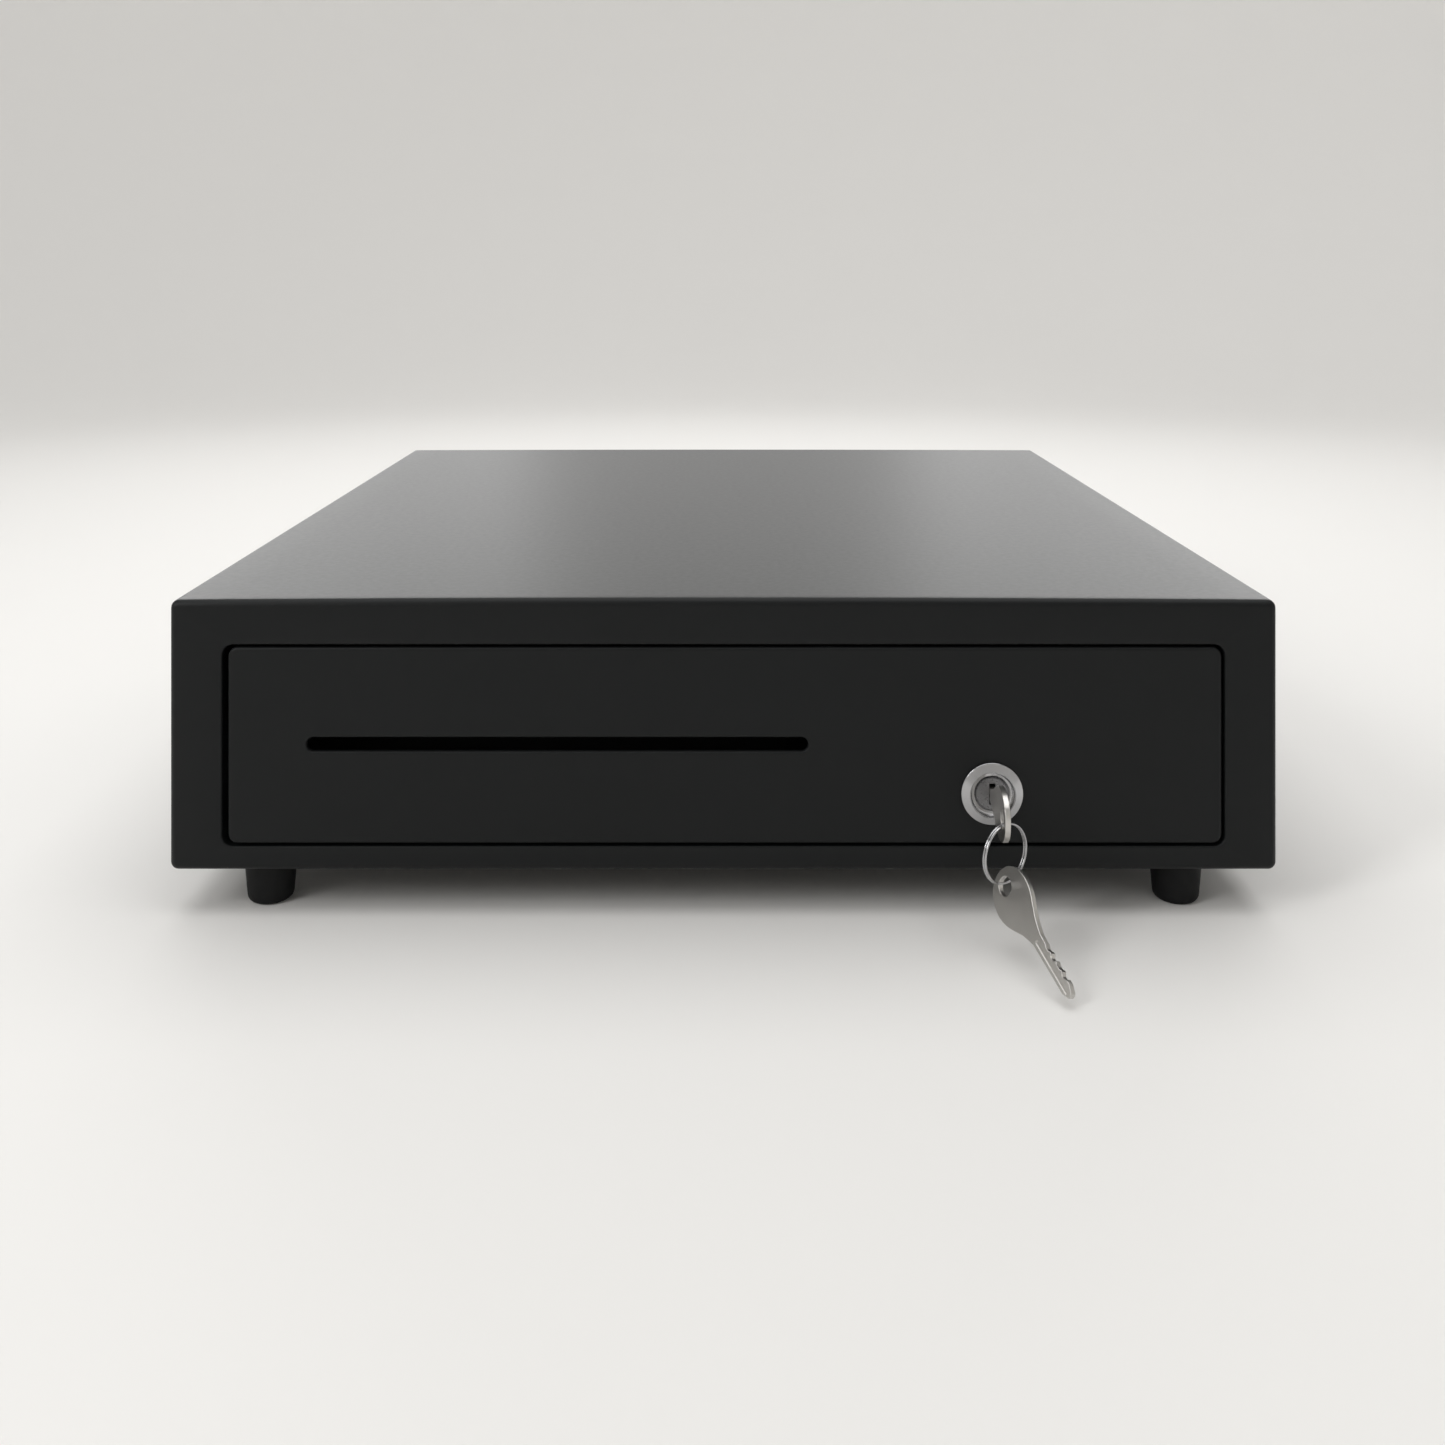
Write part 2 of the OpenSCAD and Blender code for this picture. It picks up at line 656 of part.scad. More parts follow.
module till_tray() {
  color(black_plastic) set_back() difference() {
    along_z(till_z0, till_z1) round_rect(-till_x, till_x, till_y0, till_y1, 4);
    along_z(till_z0 + till_t, till_z1 + 1)
      round_rect(till_t - till_x, till_x - till_t, till_y0 + till_t, bay_y0 - till_t, 2);
    for (i = [0:bays - 1]) {
      x = -till_x + till_t + i * (bay_w + till_t);
      along_z(till_z0 + till_t, till_z1 + 1) round_rect(x, x + bay_w, bay_y0, till_y1 - till_t, 3);
      translate([x + bay_w / 2, bay_y0 + 1, till_z1]) rotate([90, 0, 0]) cylinder(r = 14, h = till_t + 2);
    }
    rod_x_at(rod_y, rod_z, rod_r + fit, -till_x - 1, till_x + 1);
  }
}

module coin_tray() {
  y_mid = (tray_y0 + tray_y1) / 2;
  half = (tray_y1 - tray_y0) / 2 - till_t;
  bottom = till_z0 + till_t + 2;
  r = 76;
  color(black_plastic) set_back() difference() {
    along_z(till_z0 + till_t, till_z1 - 1.5) round_rect(-tray_x, tray_x, tray_y0, tray_y1, 1.5);
    for (i = [0:cups - 1]) {
      x = -tray_x + till_t + i * (cup_w + till_t);
      intersection() {
        slab(x, x + cup_w, y_mid - half, y_mid + half, bottom - 1, till_z1 + 1);
        rod_x_at(y_mid, bottom + r, r, x - 1, x + cup_w + 1);
      }
    }
  }
}

module clip_rod() {
  color(chrome) set_back() rod_x_at(rod_y, rod_z, rod_r, -till_x + 0.1, till_x - 0.1);
}

function bay_mid(i) = -till_x + till_t + i * (bay_w + till_t) + bay_w / 2;

module clip_springs() {
  color(zinc) set_back() for (i = [0:bays - 1])
    translate([bay_mid(i) + 13.4, rod_y, rod_z]) rotate([0, 90, 0]) coil(7, 0.5, 2.75);
}

module note_clip(i) {
  color(zinc) set_back() translate([bay_mid(i), rod_y, rod_z]) rotate([clip_drop, 0, 0]) difference() {
    union() {
      rod_x_at(0, 0, 3.6, -13, 13);
      slab(-11, 11, -clip_len + 8, 0, -3.4, -2);
      rod_z_at(0, -clip_len + 8, 11, -3.4, -2);
      rod_x_at(-clip_len + 6, -3, 1.6, -9, 9);
    }
    rod_x_at(0, 0, rod_r + fit, -14, 14);
    along_z(-5, 0) round_rect(-6, 6, -clip_len + 22, -12, 5.8);
  }
}

module note_clip_1() note_clip(0);
module note_clip_2() note_clip(1);
module note_clip_3() note_clip(2);
module note_clip_4() note_clip(3);
module note_clip_5() note_clip(4);

// ---- Lock and keys ----

module lock_barrel() {
  color(chrome) set_back() translate([lock_x, 0, lock_zc]) rotate([90, 0, 0]) rotate_extrude()
    polygon([[plug_r + fit, -19.8], [barrel_r, -19.8], [barrel_r, 0], [bezel_r, 0], [bezel_r, 1.6],
      [bezel_r - 1.3, 3], [8.8, 3], [8.3, 1.2], [plug_r + fit, 1.2]]);
}

module lock_nut() {
  color(zinc) set_back() translate([lock_x, sheet_t + box_t + 4, lock_zc]) rotate([90, 0, 0]) difference() {
    cylinder(r = 13, h = 4, $fn = 6);
    translate([0, 0, -1]) cylinder(r = barrel_r + fit, h = 6);
  }
}

module lock_plug() {
  color(chrome) set_back() difference() {
    union() {
      rod_y_at(lock_x, lock_zc, plug_r, -1.6, 20.1);
      rod_y_at(lock_x, lock_zc, 3, 20, 23.6);
    }
    slab(lock_x - key_t / 2 - 0.15, lock_x + key_t / 2 + 0.15, -2, 20.5, lock_zc - 3.9, lock_zc + 3.9);
  }
}

module lock_cam() {
  color(zinc) set_back() difference() {
    along_y(20.3, 22.3) translate([lock_x, lock_zc]) {
      circle(7);
      translate([0, -5]) square([cam_reach - 3, 10]);
      translate([cam_reach - 8, -5]) square([8, 8]);
    }
    rod_y_at(lock_x, lock_zc, 3 + fit, 19, 24);
  }
}

// Leaf outline of the bow: shares of bow_len along it and of half bow_w across it, from the end to the neck
bow_edge = [[-0.25, 0.2], [-0.225, 0.4], [-0.17, 0.6], [-0.09, 0.78], [0.02, 0.92], [0.14, 0.99], [0.26, 1],
  [0.4, 0.93], [0.54, 0.8], [0.68, 0.65], [0.82, 0.52], [1, 0.4]];

// A flat key with its hole at the origin and its blade along X, drawn in X and Y
module key_outline() {
  tip = bow_len + blade_len;
  upper = [for (p = bow_edge) [p[0] * bow_len, p[1] * bow_w / 2]];
  lower = [for (i = [len(bow_edge) - 1:-1:0]) [upper[i][0], -upper[i][1]]];
  polygon(concat(upper, [[tip - 3, 3.4], [tip, 1.2], [tip, -1.2], [tip - 3, -3.4]], lower));
}

module flat_key() {
  difference() {
    translate([0, 0, -key_t / 2]) linear_extrude(key_t) key_outline();
    translate([0, 0, -key_t]) cylinder(r = hole_r, h = 2 * key_t);
    for (c = [[3, 1.2], [6.5, 2], [10, 0.8], [13.5, 1.7]])
      translate([bow_len + c[0], 3.4 - c[1], -key_t]) cube([2.2, 3, 2 * key_t]);
    translate([bow_len + 1, -1.6, key_t / 2 - 0.5]) cube([blade_len, 1.2, 1]);
  }
}

module lock_key() {
  color(zinc) set_back() translate([lock_x, key_hole_y, lock_zc]) rotate([90, 0, 90]) flat_key();
}

module key_ring() {
  color(chrome) set_back() translate([lock_x, key_hole_y, ring_z]) rotate([90, 0, 36]) rotate_extrude()
    translate([ring_r, 0]) circle(wire_r, $fn = 24);
}

// The spare key leans from the ring down to the table
module spare_key() {
  yaw = atan2(spare_aim[1], spare_aim[0]);
  pitch = asin(spare_aim[2]);
  color(zinc) set_back() translate(spare_hole) rotate([0, -pitch, yaw]) rotate([72, 0, 0]) flat_key();
}

case_cover();
base_plate();
rear_panel();
case_screws();
foot_front_left();
foot_front_right();
foot_rear_left();
foot_rear_right();
foot_screws();
rail_bracket_left();
rail_bracket_right();
outer_rail_left();
outer_rail_right();
rail_screws();
lock_keeper();
latch_bracket();
latch_pivot();
solenoid_frame();
solenoid_coil();
bracket_screws();
cable_jack();
jack_contacts();
wiring();
switch_body();
spring_post();
kick_spring();
latch_spring();
middle_rail_left();
middle_rail_right();
outer_cage_left();
outer_cage_right();
inner_cage_left();
inner_cage_right();
latch_hook();
solenoid_plunger();
switch_button();
drawer_box();
front_panel();
front_screws();
inner_rail_left();
inner_rail_right();
inner_rail_screws();
strike_plate();
till_tray();
coin_tray();
clip_rod();
clip_springs();
note_clip_1();
note_clip_2();
note_clip_3();
note_clip_4();
note_clip_5();
lock_barrel();
lock_nut();
lock_plug();
lock_cam();
lock_key();
key_ring();
spare_key();
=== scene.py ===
# %% [markdown]
# # A steel cash drawer
# The drawer is folded from thin steel sheet, powder coated black, and stands on four rubber feet.
# The measured model from the CAD step is loaded first and never moved: every piece made below is
# built around it, in metres, with Z = 0 on the table and the drawer opening towards -Y.

# %% Load the measured frame
import json
import math

import bmesh
import bpy
from mathutils import Matrix, Vector


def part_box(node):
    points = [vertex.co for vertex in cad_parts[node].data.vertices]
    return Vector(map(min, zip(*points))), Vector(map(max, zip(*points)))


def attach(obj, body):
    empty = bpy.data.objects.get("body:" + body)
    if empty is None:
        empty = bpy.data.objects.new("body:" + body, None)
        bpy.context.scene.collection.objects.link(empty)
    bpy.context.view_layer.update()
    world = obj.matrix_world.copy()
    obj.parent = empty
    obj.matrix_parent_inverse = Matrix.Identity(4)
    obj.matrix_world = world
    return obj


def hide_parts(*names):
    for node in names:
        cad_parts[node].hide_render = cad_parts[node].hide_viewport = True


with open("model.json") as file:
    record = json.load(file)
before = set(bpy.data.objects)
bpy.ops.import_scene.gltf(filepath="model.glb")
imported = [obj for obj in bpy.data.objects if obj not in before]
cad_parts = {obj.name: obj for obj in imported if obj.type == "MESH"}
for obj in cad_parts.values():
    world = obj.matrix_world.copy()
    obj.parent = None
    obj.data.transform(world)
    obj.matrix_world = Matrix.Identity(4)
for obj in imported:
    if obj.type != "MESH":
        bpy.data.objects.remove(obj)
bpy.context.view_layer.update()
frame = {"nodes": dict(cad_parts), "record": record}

NODES = frame["nodes"]

# %% [markdown]
# A workshop drawing gives sizes in millimetres from a few datum faces. Here those are the front
# face of the case, the table and the middle line, so a helper turns such a size into a point.
# Places that the CAD model already holds are read from it, so that both stay in step.

# %% Datum faces and sizes
MM = 0.001
MILLIMETRES = Matrix.Diagonal((MM, MM, MM, 1))
UP, ALONG_X = Vector((0, 0, 1)), Vector((1, 0, 0))
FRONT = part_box("case_cover")[0].y


def at(x, y, z):
    """A point in metres from millimetres: x from the middle, y behind the front face, z over the table."""
    return Vector((x * MM, FRONT + y * MM, z * MM))


def extent(node):
    """A node's box in millimetres from the datum faces: x0, x1, y0, y1, z0, z1."""
    low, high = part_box(node)
    return (low.x / MM, high.x / MM, (low.y - FRONT) / MM, (high.y - FRONT) / MM, low.z / MM, high.z / MM)


CASE = extent("case_cover")
PANEL = extent("front_panel")
BARREL = extent("lock_barrel")
HALF_W, DEPTH, BOTTOM, TOP = CASE[1], CASE[3], CASE[4], CASE[5]
SHEET = 1.2
GAP, LEFT_EXTRA = 1.0, 1.2
LOCK_X, LOCK_Z = (BARREL[0] + BARREL[1]) / 2, (BARREL[4] + BARREL[5]) / 2
OPEN = (PANEL[0] - GAP - LEFT_EXTRA, PANEL[1] + GAP, PANEL[4] - GAP, PANEL[5] + GAP)
print("case", [round(v, 1) for v in CASE], "panel", [round(v, 1) for v in PANEL])

# %% [markdown]
# Every piece is shaped in a bmesh, Blender's editable mesh. One helper turns the finished bmesh
# into an object that stands for a node of the CAD model: it merges doubled points, turns the faces
# outwards, marks edges sharper than a given angle so that round parts shade smoothly and folds
# stay crisp, and gives the piece that node's body, slot and finish. The finishes are made further on.

# %% Finish a mesh
SLOT_OF = {part["node"]: part["material_slot"] for part in frame["record"]["subparts"]}
BODY_OF = {node: body for body, nodes in frame["record"]["behaviour"]["bodies"].items() for node in nodes}
MERGE = 2e-6


def add_object(name, data):
    made = bpy.data.objects.new(name, data)
    bpy.context.scene.collection.objects.link(made)
    return made


def smooth_object(bm, name, material):
    """An object made of a bmesh, shaded smoothly."""
    mesh = bpy.data.meshes.new(name)
    bm.to_mesh(mesh)
    bm.free()
    mesh.materials.append(material)
    mesh.polygons.foreach_set("use_smooth", [True] * len(mesh.polygons))
    return add_object(name, mesh)


def stand_for(bm, name, node, angle=35):
    """Finishes a piece that replaces a CAD node, with the body, slot and material of that node."""
    body, slot = BODY_OF[node], SLOT_OF[node]
    bmesh.ops.remove_doubles(bm, verts=bm.verts, dist=MERGE)
    bmesh.ops.recalc_face_normals(bm, faces=bm.faces)
    piece = smooth_object(bm, name, BY_SLOT[slot])
    piece.data.set_sharp_from_angle(angle=math.radians(angle))
    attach(piece, body)
    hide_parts(node)
    print(f"{name}: {len(piece.data.polygons)} faces, rides on {body}")
    return piece


def wall(piece, thickness):
    """Gives an open skin its sheet thickness, inwards from the faces that were drawn."""
    solid = piece.modifiers.new("wall", "SOLIDIFY")
    solid.thickness = thickness * MM
    solid.offset = -1
    solid.use_even_offset = True
    return piece


def soften(piece, width, segments=2, angle=50):
    """Rounds the crisp edges of a finished piece."""
    edge = piece.modifiers.new("soft_edges", "BEVEL")
    edge.width = width * MM
    edge.segments = segments
    edge.limit_method = "ANGLE"
    edge.angle_limit = math.radians(angle)
    edge.harden_normals = True
    return piece


# %% [markdown]
# Most of this object is rounded rectangles: the case, its opening, the drawer front, the slot and
# the trays. A rectangle of four points whose corners are bevelled gives such an outline, and
# bridging one outline to the next gives the walls between them, like a tailor's pattern.

# %% Outlines
def outline(bm, x0, x1, z0, z1, radius, place, segments=5):
    """A rounded rectangle. place(u, v) puts a point of its flat pattern, in millimetres, in the frame."""
    corners = [bm.verts.new((x, 0, z)) for x, z in ((x0, z0), (x1, z0), (x1, z1), (x0, z1))]
    face = bm.faces.new(corners)
    if radius > 0:
        made = bmesh.ops.bevel(bm, geom=corners, offset=radius, offset_type="OFFSET", segments=segments,
                               profile=0.5, affect="VERTICES", material=-1, clamp_overlap=False)
        face = max({f for v in made["verts"] for f in v.link_faces}, key=lambda f: len(f.verts))
    for v in face.verts:
        v.co = place(v.co.x, v.co.z)
    edges = list(face.edges)
    bmesh.ops.delete(bm, geom=[face], context="FACES_ONLY")
    return edges


def inset_outline(bm, box, inset, radius, place, segments=5):
    """The outline of a box, drawn in by an inset or out by a negative one."""
    u0, u1, v0, v1 = box
    return outline(bm, u0 + inset, u1 - inset, v0 + inset, v1 - inset, radius, place, segments)


def ring_of(bm, points, place):
    """A closed outline through flat points."""
    verts = [bm.verts.new(place(u, v)) for u, v in points]
    return [bm.edges.new(pair) for pair in zip(verts, verts[1:] + verts[:1])]


def edges_of(verts):
    """The edges of a new circle, always in the same order."""
    return list(dict.fromkeys(e for v in verts for e in v.link_edges))


# %% [markdown]
# Every outline is drawn flat, in two sizes, and a small function puts it on its plane: upright,
# level or beside. Outlines are then joined by skins, or filled as caps with other outlines left
# out of them as holes. Round parts need only half of their section, which is spun about an axis.

# %% Planes, skins and turned parts
def upright(y):
    """Puts a pattern on an upright plane, y behind the front face."""
    return lambda u, v: at(u, y, v)


def level(z):
    """Puts a pattern on a level plane, where its second size is y."""
    return lambda u, v: at(u, v, z)


def beside(x):
    """Puts a pattern on an upright plane that runs front to back, where its first size is y."""
    return lambda u, v: at(x, u, v)


def on_matrix(matrix, height):
    """Puts a pattern at a height over the plane that a matrix carries."""
    return lambda u, v: matrix @ Vector((u, v, height))


def skin(bm, loops):
    """Bridges each outline to the next."""
    for a, b in zip(loops, loops[1:]):
        bmesh.ops.bridge_loops(bm, edges=a + b)


def cap(bm, *loops, border=0):
    """Fills a flat outline, leaving out the outlines that lie within it. A narrow border of faces
    along the outlines keeps the shading of the rounded edge beside them off the flat."""
    flat = bmesh.ops.triangle_fill(bm, edges=[e for loop in loops for e in loop], use_beauty=True)["geom"]
    if border:
        bmesh.ops.inset_region(bm, faces=[f for f in flat if isinstance(f, bmesh.types.BMFace)],
                               thickness=border * MM, use_even_offset=True, use_boundary=True)


def divide(bm, point, normal):
    """Cuts each face that a plane crosses in two."""
    bmesh.ops.bisect_plane(bm, geom=bm.verts[:] + bm.edges[:] + bm.faces[:], dist=1e-7, plane_co=point,
                           plane_no=normal)


def circle(bm, u, v, radius, place, steps=48):
    made = bmesh.ops.create_circle(bm, radius=radius, segments=steps)["verts"]
    for w in made:
        w.co = place(u + w.co.x, v + w.co.y)
    return edges_of(made)


def aimed(origin, axis):
    """A matrix that carries a shape drawn round Z to an origin, along an axis."""
    turn = UP.rotation_difference(Vector(axis)).to_matrix().to_4x4()
    return Matrix.Translation(origin) @ turn


def turned(points, origin, axis, steps=48, bm=None):
    """A turned part: (radius, height) points in millimetres, spun round an axis from an origin."""
    bm = bm or bmesh.new()
    before = set(bm.verts)
    verts = [bm.verts.new((r * MM, 0, h * MM)) for r, h in points]
    edges = [bm.edges.new(pair) for pair in zip(verts, verts[1:])]
    bmesh.ops.spin(bm, geom=verts + edges, cent=(0, 0, 0), axis=UP, angle=math.tau, steps=steps,
                   use_merge=True)
    made = [v for v in bm.verts if v not in before]
    bmesh.ops.transform(bm, matrix=aimed(origin, axis), verts=made)
    return bm


def arc(cx, cy, r, a0, a1, steps=6):
    """Points along an arc, from one angle in degrees to another."""
    return [(cx + r * math.cos(math.radians(a0 + (a1 - a0) * i / steps)),
             cy + r * math.sin(math.radians(a0 + (a1 - a0) * i / steps))) for i in range(steps + 1)]


def quarter(steps):
    """The angles of a quarter turn, in radians."""
    return [math.pi / 2 * k / steps for k in range(steps + 1)]


# %% [markdown]
# ## Camera and studio
# The view is from in front and a little above, with the case's sides upright. A photographer
# gets that by keeping the camera level and sliding the lens down, and Blender's camera does the
# same with its vertical shift. The floor is a pale disc whose rim curves up into a wall, like a
# paper sweep in a studio, so no horizon shows from any side.

# %% Camera
camera_data = bpy.data.cameras.new("camera")
camera_data.sensor_width = 36
camera_data.lens = 35.506
camera_data.shift_y = -0.3207
camera_data.clip_start = 0.01
camera = add_object("camera", camera_data)
camera.location = at(-0.3, -526.9, 243.3)
camera.rotation_euler = (math.radians(90), 0, 0)
bpy.context.scene.camera = camera
print("camera at", [round(v, 4) for v in camera.location])

# %% Studio sweep
def new_material(name, base, rough, metal=0.0, specular=0.5):
    material = bpy.data.materials.new(name)
    material.use_nodes = True
    shader = material.node_tree.nodes["Principled BSDF"]
    shader.inputs["Base Color"].default_value = (*base, 1)
    shader.inputs["Roughness"].default_value = rough
    shader.inputs["Metallic"].default_value = metal
    shader.inputs["Specular IOR Level"].default_value = specular
    return material


FLOOR_R, SWEEP_R, WALL_TOP = 1600, 900, 1700
sweep_profile = [(0, 0)] + arc(FLOOR_R, SWEEP_R, SWEEP_R, -90, 0, 12) + [(FLOOR_R + SWEEP_R, WALL_TOP)]
bm = turned(sweep_profile, (0, 0, 0), UP, steps=72)
bmesh.ops.remove_doubles(bm, verts=bm.verts, dist=1e-5)
bmesh.ops.recalc_face_normals(bm, faces=bm.faces)
if sum(f.normal.z for f in bm.faces) < 0:
    bmesh.ops.reverse_faces(bm, faces=bm.faces)
sweep = smooth_object(bm, "studio_sweep", new_material("studio_paper", (0.80, 0.79, 0.77), 0.9, specular=0.1))

# %% Lights
world = bpy.data.worlds.new("studio")
bpy.context.scene.world = world
world.use_nodes = True
background = world.node_tree.nodes["Background"]
background.inputs["Color"].default_value = (1.0, 0.99, 0.98, 1)
background.inputs["Strength"].default_value = 0.30
bpy.context.scene.view_settings.view_transform = "Standard"


def soft_light(name, location, target, size, power, spread=180):
    """A softbox. A spread under 180 degrees works like the fabric grid that keeps its light off the wall."""
    data = bpy.data.lights.new(name, "AREA")
    data.shape = "RECTANGLE"
    data.size, data.size_y = size
    data.energy = power
    data.spread = math.radians(spread)
    lamp = add_object(name, data)
    lamp.location = location
    lamp.rotation_euler = (Vector(target) - Vector(location)).to_track_quat("-Z", "Y").to_euler()
    lamp.visible_camera = False


soft_light("overhead", (0.0, 0.0, 2.0), (0, 0, 0), (2.4, 2.4), 31)
ROOF_MIDDLE = (0, 0.1, 0.1)
soft_light("back_left", (-0.95, 1.9, 0.75), ROOF_MIDDLE, (1.3, 0.7), 1.6, 70)
soft_light("back_right", (0.95, 1.9, 0.75), ROOF_MIDDLE, (1.3, 0.7), 1.65, 70)
soft_light("back_middle", (0.0, 2.0, 0.75), ROOF_MIDDLE, (1.0, 0.6), 0.42, 70)
soft_light("front_left", (-1.3, -1.2, 1.1), (0, -0.15, 0.05), (0.5, 0.9), 3, 90)
soft_light("wall_wash", (0.0, 1.2, 1.9), (0, 2.5, 0.3), (2.4, 0.5), 4)

# %% [markdown]
# ## Finishes
# A finish is more than a colour. Powder coat is a melted plastic skin with a fine orange-peel
# ripple, zinc plate shows soft grey clouds and fine brushing, moulded plastic has a spark-eroded
# grain. Each material below mixes such a pattern from noise that reads Object coordinates, so the
# pattern stays fixed in the metal when the drawer slides.

# %% Material helpers
def add_node(material, kind, **inputs):
    """Adds a shader node. Each input is a value, or the output that feeds it."""
    node = material.node_tree.nodes.new("ShaderNode" + kind)
    for name, value in inputs.items():
        socket = node.inputs[name.replace("_", " ")]
        if isinstance(value, bpy.types.NodeSocket):
            material.node_tree.links.new(value, socket)
        else:
            socket.default_value = value
    return node


def noise(material, scale, detail=3.0, stretch=(1, 1, 1)):
    """A noise pattern on Object coordinates, its scale in cells per metre."""
    coords = add_node(material, "TexCoord").outputs["Object"]
    spread = add_node(material, "Mapping", Vector=coords, Scale=stretch).outputs["Vector"]
    return add_node(material, "TexNoise", Vector=spread, Scale=scale, Detail=detail).outputs["Fac"]


def remap(material, value, low, high):
    """Spreads the middle of a noise pattern over a range of values."""
    node = add_node(material, "MapRange", Value=value, From_Min=0.3, From_Max=0.7, To_Min=low, To_Max=high)
    return node.outputs["Result"]


def bump(material, value, height, strength, **under):
    """Relief of a height in metres, over an earlier relief if Normal is given."""
    return add_node(material, "Bump", Height=value, Distance=height, Strength=strength, **under).outputs["Normal"]


def into(material, value, socket):
    shader = material.node_tree.nodes["Principled BSDF"]
    material.node_tree.links.new(value, shader.inputs[socket])


def clouded(material, factor, base, dark, light):
    """Lets the base colour drift between a darker and a lighter tone of itself."""
    node = material.node_tree.nodes.new("ShaderNodeMix")
    node.data_type = "RGBA"
    for socket, tone in ((node.inputs[6], dark), (node.inputs[7], light)):
        socket.default_value = (*(c * tone for c in base), 1)
    material.node_tree.links.new(factor, node.inputs[0])
    into(material, node.outputs[2], "Base Color")


# %% Painted, moulded and rubber finishes
RIPPLE = 0.000012


def powder_coat(name, base, rough):
    """Satin powder coat: faint cloudiness in the black and a fine orange-peel ripple."""
    material = new_material(name, base, rough, specular=0.19)
    clouded(material, remap(material, noise(material, 14, 4), 0, 1), base, 0.95, 1.05)
    into(material, remap(material, noise(material, 400, 3), rough - 0.015, rough + 0.015), "Roughness")
    peel = bump(material, noise(material, 900, 2), RIPPLE, 0.6)
    into(material, bump(material, noise(material, 3500, 1), RIPPLE * 0.4, 0.5, Normal=peel), "Normal")
    return material


def moulded(name, base, rough, specular=0.45):
    """Injection moulded plastic with a fine eroded grain."""
    material = new_material(name, base, rough, specular=specular)
    into(material, remap(material, noise(material, 220, 4), rough - 0.05, rough + 0.06), "Roughness")
    into(material, bump(material, noise(material, 2600, 2), 0.00003, 0.7), "Normal")
    clouded(material, noise(material, 35, 3), base, 0.85, 1.15)
    return material


black_coat = powder_coat("black_powder_coat", (0.0062, 0.0070, 0.0073), 0.42)
front_coat = powder_coat("front_powder_coat", (0.0064, 0.0072, 0.0075), 0.42)
box_coat = powder_coat("inner_powder_coat", (0.0180, 0.0185, 0.0190), 0.48)
tray_plastic = moulded("till_plastic", (0.020, 0.020, 0.021), 0.42)
switch_plastic = moulded("switch_plastic", (0.024, 0.024, 0.026), 0.38)
button_plastic = moulded("button_red", (0.45, 0.02, 0.015), 0.35)
foot_rubber = moulded("foot_rubber", (0.0040, 0.0042, 0.0045), 0.62, 0.22)
lead_sleeve = moulded("wire_red", (0.38, 0.012, 0.010), 0.45)


# %% Plated and bare metals
def metal(name, base, rough, scale, stretch=(1, 1, 1), spread=0.08, grain=0.000004):
    """A metal with soft clouds in its tone and fine brushing along one axis."""
    material = new_material(name, base, rough, metal=1.0)
    clouded(material, remap(material, noise(material, 25, 4), 0, 1), base, 0.88, 1.08)
    brushed = noise(material, scale, 3, stretch)
    into(material, remap(material, brushed, rough - spread, rough + spread), "Roughness")
    into(material, bump(material, brushed, grain, 0.6), "Normal")
    return material


chrome = metal("bright_chrome", (0.47, 0.47, 0.48), 0.16, 1400, spread=0.04, grain=0.000001)
# The plug's metal is a darker copy of the chrome: painted shade for the dark that the recessed plug face reflects.
plug_painted_shade = metal("plug_metal_painted_shade", (0.20, 0.20, 0.205), 0.30, 1400, spread=0.06)
nickel = metal("key_nickel", (0.60, 0.585, 0.56), 0.34, 2200, spread=0.06)
zinc_plate = metal("zinc_plate", (0.58, 0.60, 0.63), 0.34, 1100, (1, 0.06, 1))
zinc_bright = metal("screw_zinc", (0.62, 0.63, 0.65), 0.28, 1500, spread=0.05)
spring_steel = metal("spring_steel", (0.42, 0.42, 0.43), 0.30, 1800, spread=0.05)
cage_metal = metal("cage_steel", (0.50, 0.50, 0.52), 0.26, 1500, spread=0.05)
clip_metal = metal("clip_steel", (0.55, 0.56, 0.57), 0.27, 1300, (1, 0.05, 1), spread=0.05)
brass = metal("contact_brass", (0.72, 0.50, 0.20), 0.24, 1600, spread=0.04)
copper = metal("coil_copper", (0.62, 0.24, 0.10), 0.30, 120, (40, 1, 1), grain=0.00006)

# %% [markdown]
# The CAD nodes that keep their own shape take their finish here. Each of their objects gets the
# material that belongs to its slot in the record, in place of the plain colour it came with.

# %% Finishes of the carried-over nodes
BY_SLOT = {
    "case_steel": black_coat, "front_steel": front_coat, "box_steel": box_coat, "foot_rubber": foot_rubber,
    "till_plastic": tray_plastic, "clip_steel": clip_metal, "bright_chrome": chrome, "key_nickel": nickel,
    "black_plastic": switch_plastic, "button_red": button_plastic, "contact_brass": brass, "coil_copper": copper,
    "wire_red": lead_sleeve, "screw_zinc": zinc_bright, "cage_steel": cage_metal, "spring_steel": spring_steel,
    "zinc_steel": zinc_plate,
}
for name, node in NODES.items():
    node.data.materials.clear()
    node.data.materials.append(BY_SLOT[SLOT_OF[name]])
print("finished", len(NODES), "carried-over nodes in", len(set(SLOT_OF.values())), "finishes")

# %% [markdown]
# ## The case
# The case is one sheet folded round: roof, two sides, a front frame with the drawer's opening, and
# narrow lips turned in underneath, where the base plate is screwed. It is drawn as a skin of
# outlines from the opening's turned-in edge, over the rounded front fold, back to the open rear.
# The roof is a large thin sheet, and it comes out of the folding press with a slight crown.

# %% Case shell
FOLD_R = 2.6
CORNER_R = 3.0
RETURN = 7.0
CROWN = 0.7
EDGE_R = 0.7
LIP_W, LIP_FRONT, NOTCH_FRONT, NOTCH_X = 22.0, 14.0, 6.0, 154.5


def case_ring(inset, y):
    return inset_outline(bm, (-HALF_W, HALF_W, BOTTOM, TOP), inset, max(CORNER_R - inset, 0.6), upright(y))


def opening_ring(grow, y):
    return inset_outline(bm, OPEN, -grow, 4 + grow, upright(y))


